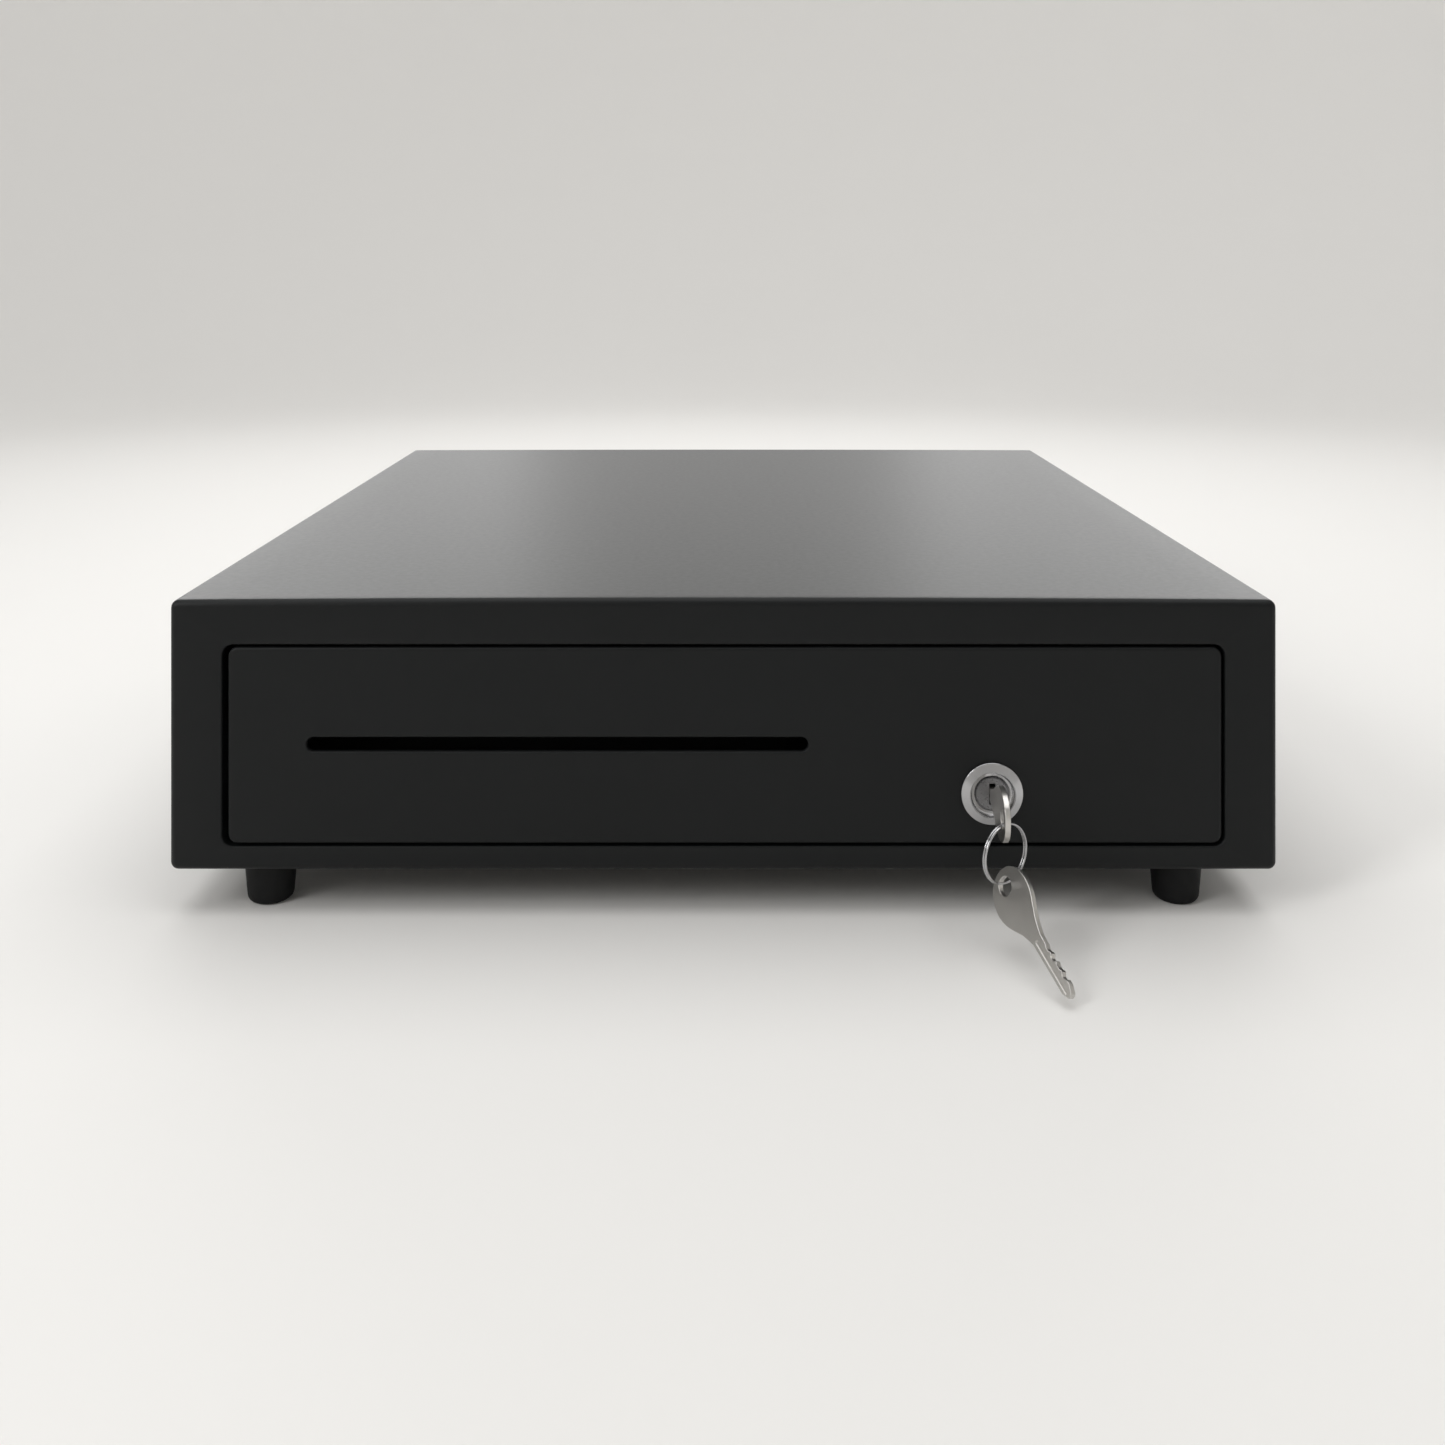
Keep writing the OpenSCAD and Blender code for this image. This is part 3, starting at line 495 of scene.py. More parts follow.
bm = bmesh.new()
loops = [opening_ring(0, SHEET + RETURN)]
loops += [opening_ring(u, v) for u, v in arc(EDGE_R, EDGE_R, EDGE_R, 180, 270, 4)]
loops += [case_ring(FOLD_R - u, v) for u, v in arc(0, FOLD_R, FOLD_R, 270, 360, 7)]
loops += [case_ring(0, y) for y in (40, 130, 220, 310, 390, DEPTH)]
skin(bm, loops)
for x in (LIP_W - HALF_W, HALF_W - LIP_W, -NOTCH_X, NOTCH_X, *range(-120, 121, 40)):
    divide(bm, at(x, 0, 0), (1, 0, 0))
for y in (NOTCH_FRONT, LIP_FRONT):
    divide(bm, at(0, y, 0), (0, 1, 0))
under = []
for f in bm.faces:
    c = f.calc_center_median()
    x, y, z = abs(c.x / MM), (c.y - FRONT) / MM, c.z / MM
    if z < BOTTOM + 0.01 and x < HALF_W - LIP_W and (y > LIP_FRONT or (y > NOTCH_FRONT and x > NOTCH_X)):
        under.append(f)
bmesh.ops.delete(bm, geom=under, context="FACES")
for v in bm.verts:
    x, y, over = v.co.x / MM, (v.co.y - FRONT) / MM, v.co.z / MM - TOP + FOLD_R
    if over > 0:
        across = max(0.0, 1 - (abs(x) / (HALF_W - 4)) ** 2)
        v.co.z += CROWN * MM * across * (1 - 0.45 * max(0.0, y) / DEPTH) * min(1.0, over / FOLD_R)
case_shell = stand_for(bm, "case_shell", "case_cover", angle=24)
wall(case_shell, SHEET)
soften(case_shell, 0.25)

# %% [markdown]
# ## The drawer front
# The front is a shallow pan: its edges are folded back all round, with a slightly rounded press
# line that catches the light along the gap. The slot for cheques has rolled edges, so that paper
# slides in, and the lock sits in a round hole. The flat face is filled between these outlines.

# %% Drawer front
PANEL_FOLD, PANEL_R, PANEL_ROLL = 10.0, 3.5, 1.1
SLOT_X, SLOT_Z, SLOT_W, SLOT_H, SLOT_ROLL = -61.4, BOTTOM + 46.8, 185.5, 5.2, 0.7
LOCK_HOLE_R = 9.5


def panel_ring(inset, y):
    return inset_outline(bm, (*PANEL[:2], *PANEL[4:]), inset, PANEL_R - inset, upright(y))


def slot_ring(grow, y, segments=8):
    half_w, half_h = SLOT_W / 2 + grow, SLOT_H / 2 + grow
    return outline(bm, SLOT_X - half_w, SLOT_X + half_w, SLOT_Z - half_h, SLOT_Z + half_h, half_h - 0.1, upright(y),
                   segments)


bm = bmesh.new()
rim = [panel_ring(0, PANEL_FOLD)]
rim += [panel_ring(u, v) for u, v in arc(PANEL_ROLL, PANEL_ROLL, PANEL_ROLL, 180, 270, 6)]
skin(bm, rim)
slot = [slot_ring(SLOT_ROLL - u, v) for u, v in arc(0, SLOT_ROLL, SLOT_ROLL, 270, 360, 5)] + [slot_ring(0, 2.0)]
skin(bm, slot)
hole = [circle(bm, LOCK_X, LOCK_Z, LOCK_HOLE_R, upright(y)) for y in (0, 1.0)]
skin(bm, hole)
cap(bm, rim[-1], slot[0], hole[0], border=0.4)
drawer_front = stand_for(bm, "drawer_front", "front_panel", angle=24)
wall(drawer_front, SHEET)
soften(drawer_front, 0.2)

# %% [markdown]
# ## The back panel
# The rear wall is a second pan, turned the other way and screwed into the open end of the case.
# Its vents and the hole for the cable jack are punched, so their edges stay square.

# %% Back panel
BACK = extent("rear_panel")
JACK = extent("cable_jack")
JACK_X = (JACK[0] + JACK[1]) / 2
VENT_COUNT, VENT_X, VENT_PITCH, VENT_W = 6, 60.0, 12.0, 4.0


def back_ring(inset, y):
    return inset_outline(bm, (*BACK[:2], *BACK[4:]), inset, CORNER_R - inset, upright(y))


bm = bmesh.new()
rim = [back_ring(0, BACK[2])]
rim += [back_ring(u, DEPTH - v) for u, v in arc(1.0, 1.0, 1.0, 180, 270, 5)]
skin(bm, rim)
punched = [(VENT_X + VENT_PITCH * i, VENT_X + VENT_PITCH * i + VENT_W, BOTTOM + 34, BOTTOM + 66, 1.9)
           for i in range(VENT_COUNT)]
punched.append((JACK_X - 7.2, JACK_X + 7.2, BOTTOM + 20, BOTTOM + 34.2, 0.5))
holes = [[outline(bm, *shape, upright(y)) for y in (DEPTH, DEPTH - 1)] for shape in punched]
for pair in holes:
    skin(bm, pair)
cap(bm, rim[-1], *[pair[0] for pair in holes], border=0.5)
back_panel = stand_for(bm, "back_panel", "rear_panel", angle=24)
wall(back_panel, SHEET)
soften(back_panel, 0.15)

# %% [markdown]
# ## Feet
# Each foot is a tapered rubber stopper with a rounded tread and a deep hole for its screw. A round
# part is quickest made by drawing half of its section and spinning it about its axis.

# %% Feet
FOOT_SEAT = 10.9
foot_middles = []
for place in ("front_left", "front_right", "rear_left", "rear_right"):
    x0, x1, y0, y1, z0, z1 = extent("foot_" + place)
    foot_middles.append(((x0 + x1) / 2, (y0 + y1) / 2))
    section = [(2.2, z1), (2.2, FOOT_SEAT), (5.0, FOOT_SEAT), (5.0, 0.3), (5.3, 0)]
    section += arc(6.0, 2.6, 2.6, -90, -4, 7) + [(9.75, 15.6), (10.0, z1 - 0.4), (9.6, z1)]
    bm = turned(section + section[:1], at(*foot_middles[-1], 0), UP, steps=56)
    stand_for(bm, "rubber_foot_" + place, "foot_" + place, angle=38)

# %% [markdown]
# ## Screws
# The case is held by pan-head screws with a cross recess. The recess starts as a plus-shaped
# outline, whose walls run down to a smaller plus, and the top of the head is filled between it and
# the spun rim. One function makes every screw, and a set of screws is one piece, as in the record.

# %% Screw maker
RECESS_ARM, RECESS_HALF = 0.46, 0.13


def plus(bm, arm, half, height, matrix):
    corners = []
    for k in range(4):
        turn = Matrix.Rotation(math.pi / 2 * k, 3, "Z")
        corners += [(turn @ Vector((x, y, 0))).to_2d() for x, y in ((half, -half), (arm, -half), (arm, half))]
    return ring_of(bm, corners, on_matrix(matrix, height))


def screw(bm, place, axis, head_r, head_h, shank, shank_r=1.9):
    """A pan-head screw whose head sits on place and points along axis, with its shank behind it."""
    matrix = aimed(place, axis) @ MILLIMETRES
    flat_r = head_r * 0.6
    dome = [(flat_r + (head_r - flat_r) * math.sin(a), head_h * 0.45 + head_h * 0.55 * math.cos(a))
            for a in quarter(5)]
    thread = []
    for k in range(int(shank / 0.5)):
        thread += [(shank_r, -0.5 * k - 0.05), (shank_r * 0.86, -0.5 * k - 0.3)]
    section = dome + [(head_r, 0)] + thread + [(shank_r * 0.5, -shank)]
    loops = [circle(bm, 0, 0, r, on_matrix(matrix, h), 24) for r, h in section]
    skin(bm, loops)
    top = plus(bm, head_r * RECESS_ARM, head_r * RECESS_HALF, head_h, matrix)
    low = plus(bm, head_r * RECESS_ARM * 0.7, head_r * RECESS_HALF * 0.7, head_h * 0.25, matrix)
    skin(bm, [top, low])
    cap(bm, low)
    cap(bm, loops[0], top)
    cap(bm, loops[-1])


def screw_set(name, node, *groups):
    """All the screws of a node. Each group has its places, its axis, and the sizes of its head and shank."""
    bm = bmesh.new()
    for places, axis, *sizes in groups:
        for place in places:
            screw(bm, at(*place), axis, *sizes)
    stand_for(bm, name, node)


# %% Case and foot screws
below = [(x, y, BOTTOM) for x, y in ((-62, 7.5), (62, 7.5), (-194, DEPTH - 7), (194, DEPTH - 7))]
sides = [([(side * HALF_W, DEPTH - 7, z) for z in (BOTTOM + 22, TOP - 22)], (side, 0, 0), 3.6, 1.5, 5)
         for side in (-1, 1)]
screw_set("case_screw_set", "case_screws", (below, -UP, 3.6, 1.3, 5), *sides)
screw_set("foot_screw_set", "foot_screws", ([(x, y, FOOT_SEAT) for x, y in foot_middles], -UP, 4.4, 1.9, 11))

# %% [markdown]
# ## The lock
# A cam lock is a threaded barrel with a conical bezel in front, held by a nut behind the panel. In
# it turns a plug with an upright keyway. The barrel is one spun section, from the bore over the
# bezel and down along the threads. The plug's face is filled between its rim and the keyway.

# %% Lock barrel and bezel
BEZEL_R, BARREL_R, BARREL_LEN, BORE_R, PLUG_R = 11.5, 9.4, 19.8, 6.3, 6.25
section = [(BORE_R, -BARREL_LEN), (BORE_R, 0.9), (6.9, 1.15), (7.6, 1.2), (7.9, 1.5), (8.15, 2.75)]
section += arc(8.55, 2.7, 0.3, 170, 65, 4) + [(11.05, 1.55)] + arc(10.95, 1.05, 0.55, 60, 0, 4) + [(BEZEL_R, 0.02)]
section += [(BARREL_R, 0)]
for k in range(17):
    section += [(BARREL_R, -2.6 - k), (BARREL_R - 0.45, -3.1 - k)]
section += [(BARREL_R - 0.3, -BARREL_LEN), (BORE_R, -BARREL_LEN)]
bm = turned(section, at(LOCK_X, 0, LOCK_Z), (0, -1, 0), steps=72)
stand_for(bm, "lock_bezel", "lock_barrel", angle=30)

# %% Lock plug with its keyway
KEYWAY_HALF_W, KEYWAY_HALF_H = 1.15, 3.9
bm = bmesh.new()
section = [(5.75, -1.35), (5.95, -1.6), (6.1, -1.55), (PLUG_R, -1.3), (PLUG_R, 20.1), (3, 20.1), (3, 23.4), (2.7, 23.6)]
body = [circle(bm, LOCK_X, LOCK_Z, r, upright(y), 64) for r, y in section]
skin(bm, body)
cap(bm, body[-1])
keyway = [outline(bm, LOCK_X - KEYWAY_HALF_W, LOCK_X + KEYWAY_HALF_W, LOCK_Z - KEYWAY_HALF_H, LOCK_Z + KEYWAY_HALF_H,
                  0.3, upright(y)) for y in (-1.35, 17.5)]
skin(bm, keyway)
cap(bm, keyway[-1])
cap(bm, body[0], keyway[0])
plug = stand_for(bm, "plug_with_keyway", "lock_plug", angle=30)
# The plug takes the darker metal in place of its slot's finish: painted shade for the dark it reflects.
plug.data.materials[0] = plug_painted_shade

# %% [markdown]
# ## Keys
# Both keys are stamped from nickel-plated sheet: a leaf-shaped bow with a hole and a grooved
# blade with its cuts on one side. The outline is a smooth curve through a few points; the faces
# are filled between outline, hole and groove.

# %% Key blank
BOW_LEN, BOW_HALF, BLADE_LEN, BLADE_HALF, KEY_T, KEY_HOLE_R = 22.5, 9.2, 22.5, 2.3, 2.0, 3.25
BOW_EDGE = [(-0.25, 0.0), (-0.235, 0.28), (-0.17, 0.6), (-0.02, 0.88), (0.14, 0.99), (0.26, 1.0), (0.42, 0.92),
            (0.6, 0.7), (0.78, 0.46), (1.0, 0.27)]
CUTS = [(5.6, 0.6), (9.2, 1.0), (12.8, 0.5), (16.4, 0.9)]


def smooth_curve(points, steps=5):
    """A Catmull-Rom curve through a list of points."""
    padded = [points[0]] + points + [points[-1]]
    curve = []
    for a, b, c, d in zip(padded, padded[1:], padded[2:], padded[3:]):
        for k in range(steps):
            t = k / steps
            curve.append(tuple(0.5 * (2 * b[i] + (c[i] - a[i]) * t + (2 * a[i] - 5 * b[i] + 4 * c[i] - d[i]) * t * t
                                      + (3 * b[i] - a[i] - 3 * c[i] + d[i]) * t ** 3) for i in (0, 1)))
    return curve + [points[-1]]


def key_outline():
    upper = [(t * BOW_LEN, w * BOW_HALF) for t, w in smooth_curve(BOW_EDGE)]
    lower = [(x, -y) for x, y in reversed(upper)][:-1]
    teeth = []
    for x, depth in CUTS:
        teeth += [(BOW_LEN + x - 1.5, BLADE_HALF), (BOW_LEN + x - 0.5, BLADE_HALF - depth),
                  (BOW_LEN + x + 0.5, BLADE_HALF - depth), (BOW_LEN + x + 1.5, BLADE_HALF)]
    tip = BOW_LEN + BLADE_LEN
    return upper + teeth + [(tip - 3, BLADE_HALF), (tip - 0.5, 1.1), (tip, 0.5), (tip, -0.7), (tip - 0.5, -1.2),
                            (tip - 3, -BLADE_HALF)] + lower


def key_blank(bm, matrix):
    """A flat key with its hole at the origin and its blade along X, put in place by a matrix."""
    to_place = matrix @ MILLIMETRES
    half = KEY_T / 2
    shape = key_outline()
    hole = arc(0, 0, KEY_HOLE_R, 0, 345, 23)
    start, stop = BOW_LEN + 0.5, BOW_LEN + BLADE_LEN - 1.6
    groove = [(start, -1.1), (stop, -1.1), (stop, 0.14), (start, 0.14)]
    sides, bores = [], []
    for z, depth in ((half, 0.45), (-half, -0.45)):
        face = on_matrix(to_place, z)
        sides.append(ring_of(bm, shape, face))
        bores.append(ring_of(bm, hole, face))
        rim = ring_of(bm, groove, face)
        floor = ring_of(bm, [(x, y * 0.9 - 0.1) for x, y in groove], on_matrix(to_place, z - depth))
        skin(bm, [rim, floor])
        cap(bm, floor)
        cap(bm, sides[-1], bores[-1], rim)
    skin(bm, sides)
    skin(bm, bores)


def degrees(axis, angle):
    return Matrix.Rotation(math.radians(angle), 4, axis)


# %% Key in the lock
KEY_HOLE_Y = -25.0
bm = bmesh.new()
key_blank(bm, Matrix.Translation(at(LOCK_X, KEY_HOLE_Y, LOCK_Z)) @ degrees("Z", 90) @ degrees("X", 90))
key_in_lock = stand_for(bm, "key_in_lock", "lock_key")
soften(key_in_lock, 0.28, 3)

# %% Spare key on the ring
RING_R, RING_HALF_T, RING_PLAY = 10.35, 0.9, 0.65
RING_Z = LOCK_Z - KEY_HOLE_R + RING_HALF_T + RING_PLAY - RING_R
SPARE_HOLE = at(LOCK_X + 0.5, KEY_HOLE_Y - 1.4, RING_Z - RING_R - RING_PLAY)
SPARE_AIM = Vector((0.298, -0.857, -0.42))
SPARE_ROLL = 72
yaw = math.degrees(math.atan2(SPARE_AIM.y, SPARE_AIM.x))
pitch = math.degrees(math.asin(SPARE_AIM.z))
bm = bmesh.new()
key_blank(bm, Matrix.Translation(SPARE_HOLE) @ degrees("Z", yaw) @ degrees("Y", -pitch) @ degrees("X", SPARE_ROLL))
hanging_key = stand_for(bm, "hanging_key", "spare_key")
soften(hanging_key, 0.28, 3)

# %% [markdown]
# ## The key ring
# A split ring is a spring wire wound twice round, whose turns lie side by side. A small circle is
# carried along that path, each copy bridged to the last, with a short step where the wire crosses
# from one turn to the other. A plain torus would miss the step and the two cut ends.

# %% Split ring
WIRE_R, RING_TURN, STEP_HALF = 0.44, 36, 0.32
plane_x = Vector((math.cos(math.radians(RING_TURN)), math.sin(math.radians(RING_TURN)), 0))
axle = Vector((plane_x.y, -plane_x.x, 0))
ring_centre = at(LOCK_X, KEY_HOLE_Y, RING_Z)
STEPS, CUT_END = 112, 0.4
bm = bmesh.new()
loops = []
for i in range(STEPS + 1):
    angle = CUT_END + (4 * math.pi - 2 * CUT_END) * i / STEPS
    share = min(max((angle - 2 * math.pi + STEP_HALF) / (2 * STEP_HALF), 0), 1)
    shift = (share * share * (3 - 2 * share) * 2 - 1) * WIRE_R
    out = plane_x * math.sin(angle) - UP * math.cos(angle)
    centre = ring_centre + (out * RING_R + axle * shift) * MM
    made = bmesh.ops.create_circle(bm, cap_ends=i in (0, STEPS), radius=WIRE_R, segments=10)["verts"]
    loops.append(edges_of(made))
    for v in made:
        v.co = centre + (out * v.co.x + axle * v.co.y) * MM
skin(bm, loops)
stand_for(bm, "split_ring", "key_ring", angle=50)

# %% [markdown]
# ## Bent sheet and flat parts
# Rails, brackets and plates are strips of sheet with rounded bends. Their section is drawn as a
# middle line whose corners are rounded, given its thickness, and carried along its length as a
# prism. Plates are prisms too, with their holes left out of both end faces.

# %% Prisms and bent strips
def near_origin(height):
    """Puts a pattern on a level plane beside the origin, for a piece that is turned or bent later."""
    return lambda u, v: Vector((u, v, height)) * MM


def prism(bm, points, plane, start, stop, holes=()):
    """A flat pattern made solid between two places on a kind of plane, with its holes cut through."""
    ends = [[ring_of(bm, loop, plane(place)) for loop in (points, *holes)] for place in (start, stop)]
    for pair in zip(*ends):
        skin(bm, list(pair))
    for end in ends:
        cap(bm, *end)


def rounded(u0, u1, v0, v1, r, steps=4):
    return (arc(u1 - r, v0 + r, r, -90, 0, steps) + arc(u1 - r, v1 - r, r, 0, 90, steps)
            + arc(u0 + r, v1 - r, r, 90, 180, steps) + arc(u0 + r, v0 + r, r, 180, 270, steps))


def round_hole(u, v, r, steps=24):
    return arc(u, v, r, 0, 360 - 360 / steps, steps - 1)


def filleted(path, r, steps=4):
    """A path of straight runs, in two sizes or three, with its corners rounded."""
    points = [Vector(p) for p in path]
    smooth = [points[0]]
    for a, p, b in zip(points, points[1:], points[2:]):
        to_a, to_b = (a - p), (b - p)
        reach = min(r / math.tan(to_a.angle(to_b) / 2), to_a.length * 0.49, to_b.length * 0.49)
        first, last = p + to_a.normalized() * reach, p + to_b.normalized() * reach
        smooth += [first.lerp(p, t).lerp(p.lerp(last, t), t) for t in (k / steps for k in range(steps + 1))]
    return smooth + [points[-1]]


def ribbon(path, thick, r=1.2):
    """The outline of a bent strip of sheet whose middle line follows a path."""
    line = filleted(path, r)
    left, right = [], []
    for a, p, b in zip(line[:1] + line, line, line[1:] + line[-1:]):
        along = (b - a).normalized() * (thick / 2)
        left.append((p.x - along.y, p.y + along.x))
        right.append((p.x + along.y, p.y - along.x))
    return left + right[::-1]


# %% [markdown]
# ## The drawer box
# The box is a shallow tray folded from thinner sheet and screwed behind the front. Its five walls
# are filled flat faces whose shared corners are merged, and the edges between them are bevelled
# into the round bends of a press brake before the sheet gets its thickness.

# %% Drawer box
SLOT_BACK = 2.5
x0, x1, y0, y1, z0, z1 = extent("drawer_box")
bm = bmesh.new()
flat_walls = [
    (outline(bm, x0, x1, z0, z1, 0, upright(y0)), slot_ring(SLOT_BACK, y0, 5),
     circle(bm, LOCK_X, LOCK_Z, LOCK_HOLE_R, upright(y0))),
    (outline(bm, x0, x1, z0, z1, 0, upright(y1)),),
    (outline(bm, y0, y1, z0, z1, 0, beside(x0)),),
    (outline(bm, y0, y1, z0, z1, 0, beside(x1)),),
    (outline(bm, x0, x1, y0, y1, 0, level(z0)), outline(bm, LOCK_X - 10, LOCK_X + 21, 19.8, 24, 0.8, level(z0))),
]
for loops in flat_walls:
    cap(bm, *loops)
bmesh.ops.remove_doubles(bm, verts=bm.verts, dist=MERGE)
bmesh.ops.recalc_face_normals(bm, faces=bm.faces)
bends = [e for e in bm.edges if len(e.link_faces) == 2 and e.calc_face_angle() > 1]
bmesh.ops.bevel(bm, geom=bends, offset=1.6 * MM, segments=4, profile=0.5, affect="EDGES", material=-1,
                clamp_overlap=True)
drawer_tray = stand_for(bm, "drawer_pan", "drawer_box")
wall(drawer_tray, 1.0)

# %% Ledges under the till
bm = bmesh.new()
for side in (-1, 1):
    shelf = ribbon([(side * 172.4, 45.5), (side * 161, 45.5), (side * 161, 30.1)], 1.0, 1.5)
    prism(bm, shelf, upright, 40, 333)
stand_for(bm, "till_ledges", "drawer_box")

# %% Screws behind the front
places = [(x, 2.2, z) for x in (-155, -40, 50, 155) for z in (z0 + 8, z1 - 8)]
screw_set("front_screw_set", "front_screws", (places, (0, 1, 0), 3.6, 1.8, 1.0))

# %% [markdown]
# ## The till
# The note till is a moulded tub. Its outside, rounded rim and inside are one skin, and the walls
# between the bays are thin plates: the cross wall has a scoop in each bay for the fingers, and the
# upright walls have holes for the rod that the note clips turn on.

# %% Note till
TILL_WALL, BAY_PITCH, BAY_W, BAY_Y = 2, 68.2, 66.2, 172.0
ROD_Y, ROD_Z = 330.0, 86.0
x0, x1, y0, y1, z0, z1 = extent("till_tray")
bay_mids = [x0 + TILL_WALL + BAY_W / 2 + BAY_PITCH * i for i in range(5)]


def till_ring(inset, z, r):
    return inset_outline(bm, (x0, x1, y0, y1), inset, r, level(z))


bm = bmesh.new()
outside = [till_ring(1.5 - u, z0 + 1.5 + v, 2.5 + u) for u, v in arc(0, 0, 1.5, 270, 360, 4)]
outside += [till_ring(0.7 - u, z1 - 0.7 + v, 3.3 + u) for u, v in arc(0, 0, 0.7, 0, 90, 3)]
inside = [till_ring(1.6, z1, 2.4), till_ring(2.0, z1 - 0.4, 2)]
inside += [till_ring(4 - u, z0 + 4 + v, 2) for u, v in arc(0, 0, 2, 360, 270, 4)]
for shell in (outside, inside):
    skin(bm, shell)
cap(bm, outside[0])
cap(bm, inside[-1])
cap(bm, outside[-1], inside[0])
stand_for(bm, "note_till", "till_tray")

# %% Walls of the bays
bm = bmesh.new()
crest = z1 - 0.3
scoops = [(x0 + 1.8, crest), (x0 + 1.8, z0 + 1.6), (x1 - 1.8, z0 + 1.6), (x1 - 1.8, crest)]
for mid in reversed(bay_mids):
    scoops += [(mid + 15.6, crest)] + arc(mid, z1, 14, -6, -174, 16) + [(mid - 15.6, crest)]
prism(bm, scoops, upright, BAY_Y - TILL_WALL, BAY_Y)
for mid in bay_mids[:-1]:
    x = mid + BAY_W / 2
    plate = [(BAY_Y - 0.4, z0 + 1.6), (y1 - 1.6, z0 + 1.6), (y1 - 1.6, crest)]
    plate += arc(BAY_Y + 4.6, crest - 5, 5, 90, 180, 5)
    prism(bm, plate, beside, x, x + TILL_WALL, holes=[round_hole(ROD_Y, ROD_Z, 2.05)])
bay_walls = stand_for(bm, "bay_walls", "till_tray")
soften(bay_walls, 0.45)

# %% [markdown]
# The coin tray lies loose in the front of the till. Each cup is a scoop with a round floor, so a
# coin slides up under a fingertip. Its skin is a row of profiles, each a little further out than
# the last, which leaves every inside corner rounded.

# %% Coin tray
x0, x1, y0, y1, z0, z1 = extent("coin_tray")
COIN_WALL, CUP_W, CUP_PITCH, CUP_R, CUP_HALF, CUP_CURVE = 2, 40.0, 42.0, 5.0, 63.5, 76.0
mid_y = (y0 + y1) / 2
bm = bmesh.new()
lid = [inset_outline(bm, (x0, x1, y0, y1), i, 1.5 - i * 0.5, level(z)) for i, z in
       ((0.6, z0), (0, z0 + 0.6), (0, z1 - 0.6), (0.18, z1 - 0.18), (0.6, z1))]
skin(bm, lid)
cap(bm, lid[0])
rims = []


def cup_profile(x, off):
    """Points of one section across a cup, drawn in from the full scoop by off."""
    half, curve, centre = CUP_HALF - off, CUP_CURVE - off, z0 + COIN_WALL + CUP_CURVE
    swing = math.degrees(math.asin(half / curve))
    return [bm.verts.new(at(x, y, z)) for y, z in
            [(mid_y - half, z1)] + arc(mid_y, centre, curve, 270 - swing, 270 + swing, 20) + [(mid_y + half, z1)]]


for i in range(8):
    cup_x = x0 + COIN_WALL + CUP_PITCH * i
    stations = [(cup_x + CUP_R * (1 - math.sin(a)), CUP_R * (1 - math.cos(a)))
                for a in reversed(quarter(5))]
    stations += [(2 * cup_x + CUP_W - x, off) for x, off in reversed(stations)]
    rows = [cup_profile(x, off) for x, off in stations]
    lines = [[bm.edges.new(pair) for pair in zip(row, row[1:])] for row in rows]
    skin(bm, lines)
    ends = [bm.edges.new((rows[k][0], rows[k][-1])) for k in (0, -1)]
    for line, end in zip((lines[0], lines[-1]), ends):
        cap(bm, line, [end])
    sides = [bm.edges.get((a[k], b[k])) for a, b in zip(rows, rows[1:]) for k in (0, -1)]
    rims.append(sides + ends)
cap(bm, lid[-1], *rims)
coin_cups = stand_for(bm, "coin_cups", "coin_tray")
soften(coin_cups, 0.5, angle=55)

# %% [markdown]
# ## Note clips
# Each clip is a stamped spring-steel plate with a window, rolled round the rod and turned up at
# its tip, with a small roller that presses on the notes. It is cut flat, divided across where it
# bends, and bent by moving its points, just as the press does it.

# %% Rod and clips
CLIP_BENDS, BEND_START = (-72, -76, -80, -84, -87, -90, -93, -96), -76
rod = [(0, -171.4), (1.6, -171.4), (2, -171), (2, 171), (1.6, 171.4), (0, 171.4)]
bm = turned(rod, at(0, ROD_Y, ROD_Z), ALONG_X, 32)
stand_for(bm, "till_rod", "clip_rod")
for number, mid in enumerate(bay_mids, 1):
    bm = bmesh.new()
    blank = arc(0, -88, 11, 180, 360, 14) + [(11, -1), (-11, -1)]
    prism(bm, blank, near_origin, -3.0, -2.2, holes=[rounded(-6, 6, -74, -12, 5.7, 6)])
    for y in CLIP_BENDS:
        divide(bm, (0, y * MM, 0), (0, 1, 0))
    for v in bm.verts:
        v.co.z += max(0, BEND_START - v.co.y / MM) ** 2 * 0.0045 * MM
    turned([(2.1, -13), (3.4, -13), (3.6, -12.8), (3.6, 12.8), (3.4, 13), (2.1, 13), (2.1, -13)], (0, 0, 0), ALONG_X,
           32, bm)
    roller = Vector((0, -90, -3.4)) * MM
    turned([(0, -9), (1.2, -9), (1.5, -8.6), (1.5, 8.6), (1.2, 9), (0, 9)], roller, ALONG_X, 20, bm)
    bmesh.ops.transform(bm, matrix=Matrix.Translation(at(mid, ROD_Y, ROD_Z)) @ degrees("X", 20), verts=bm.verts)
    stand_for(bm, f"clip_{number}_plate", f"note_clip_{number}")


# %% [markdown]
# ## Springs
# A coil spring is a small circle spun about an axis while it also climbs. The spin operator does
# both at once when it is given a step along the axis, and the wire's two ends are then closed.

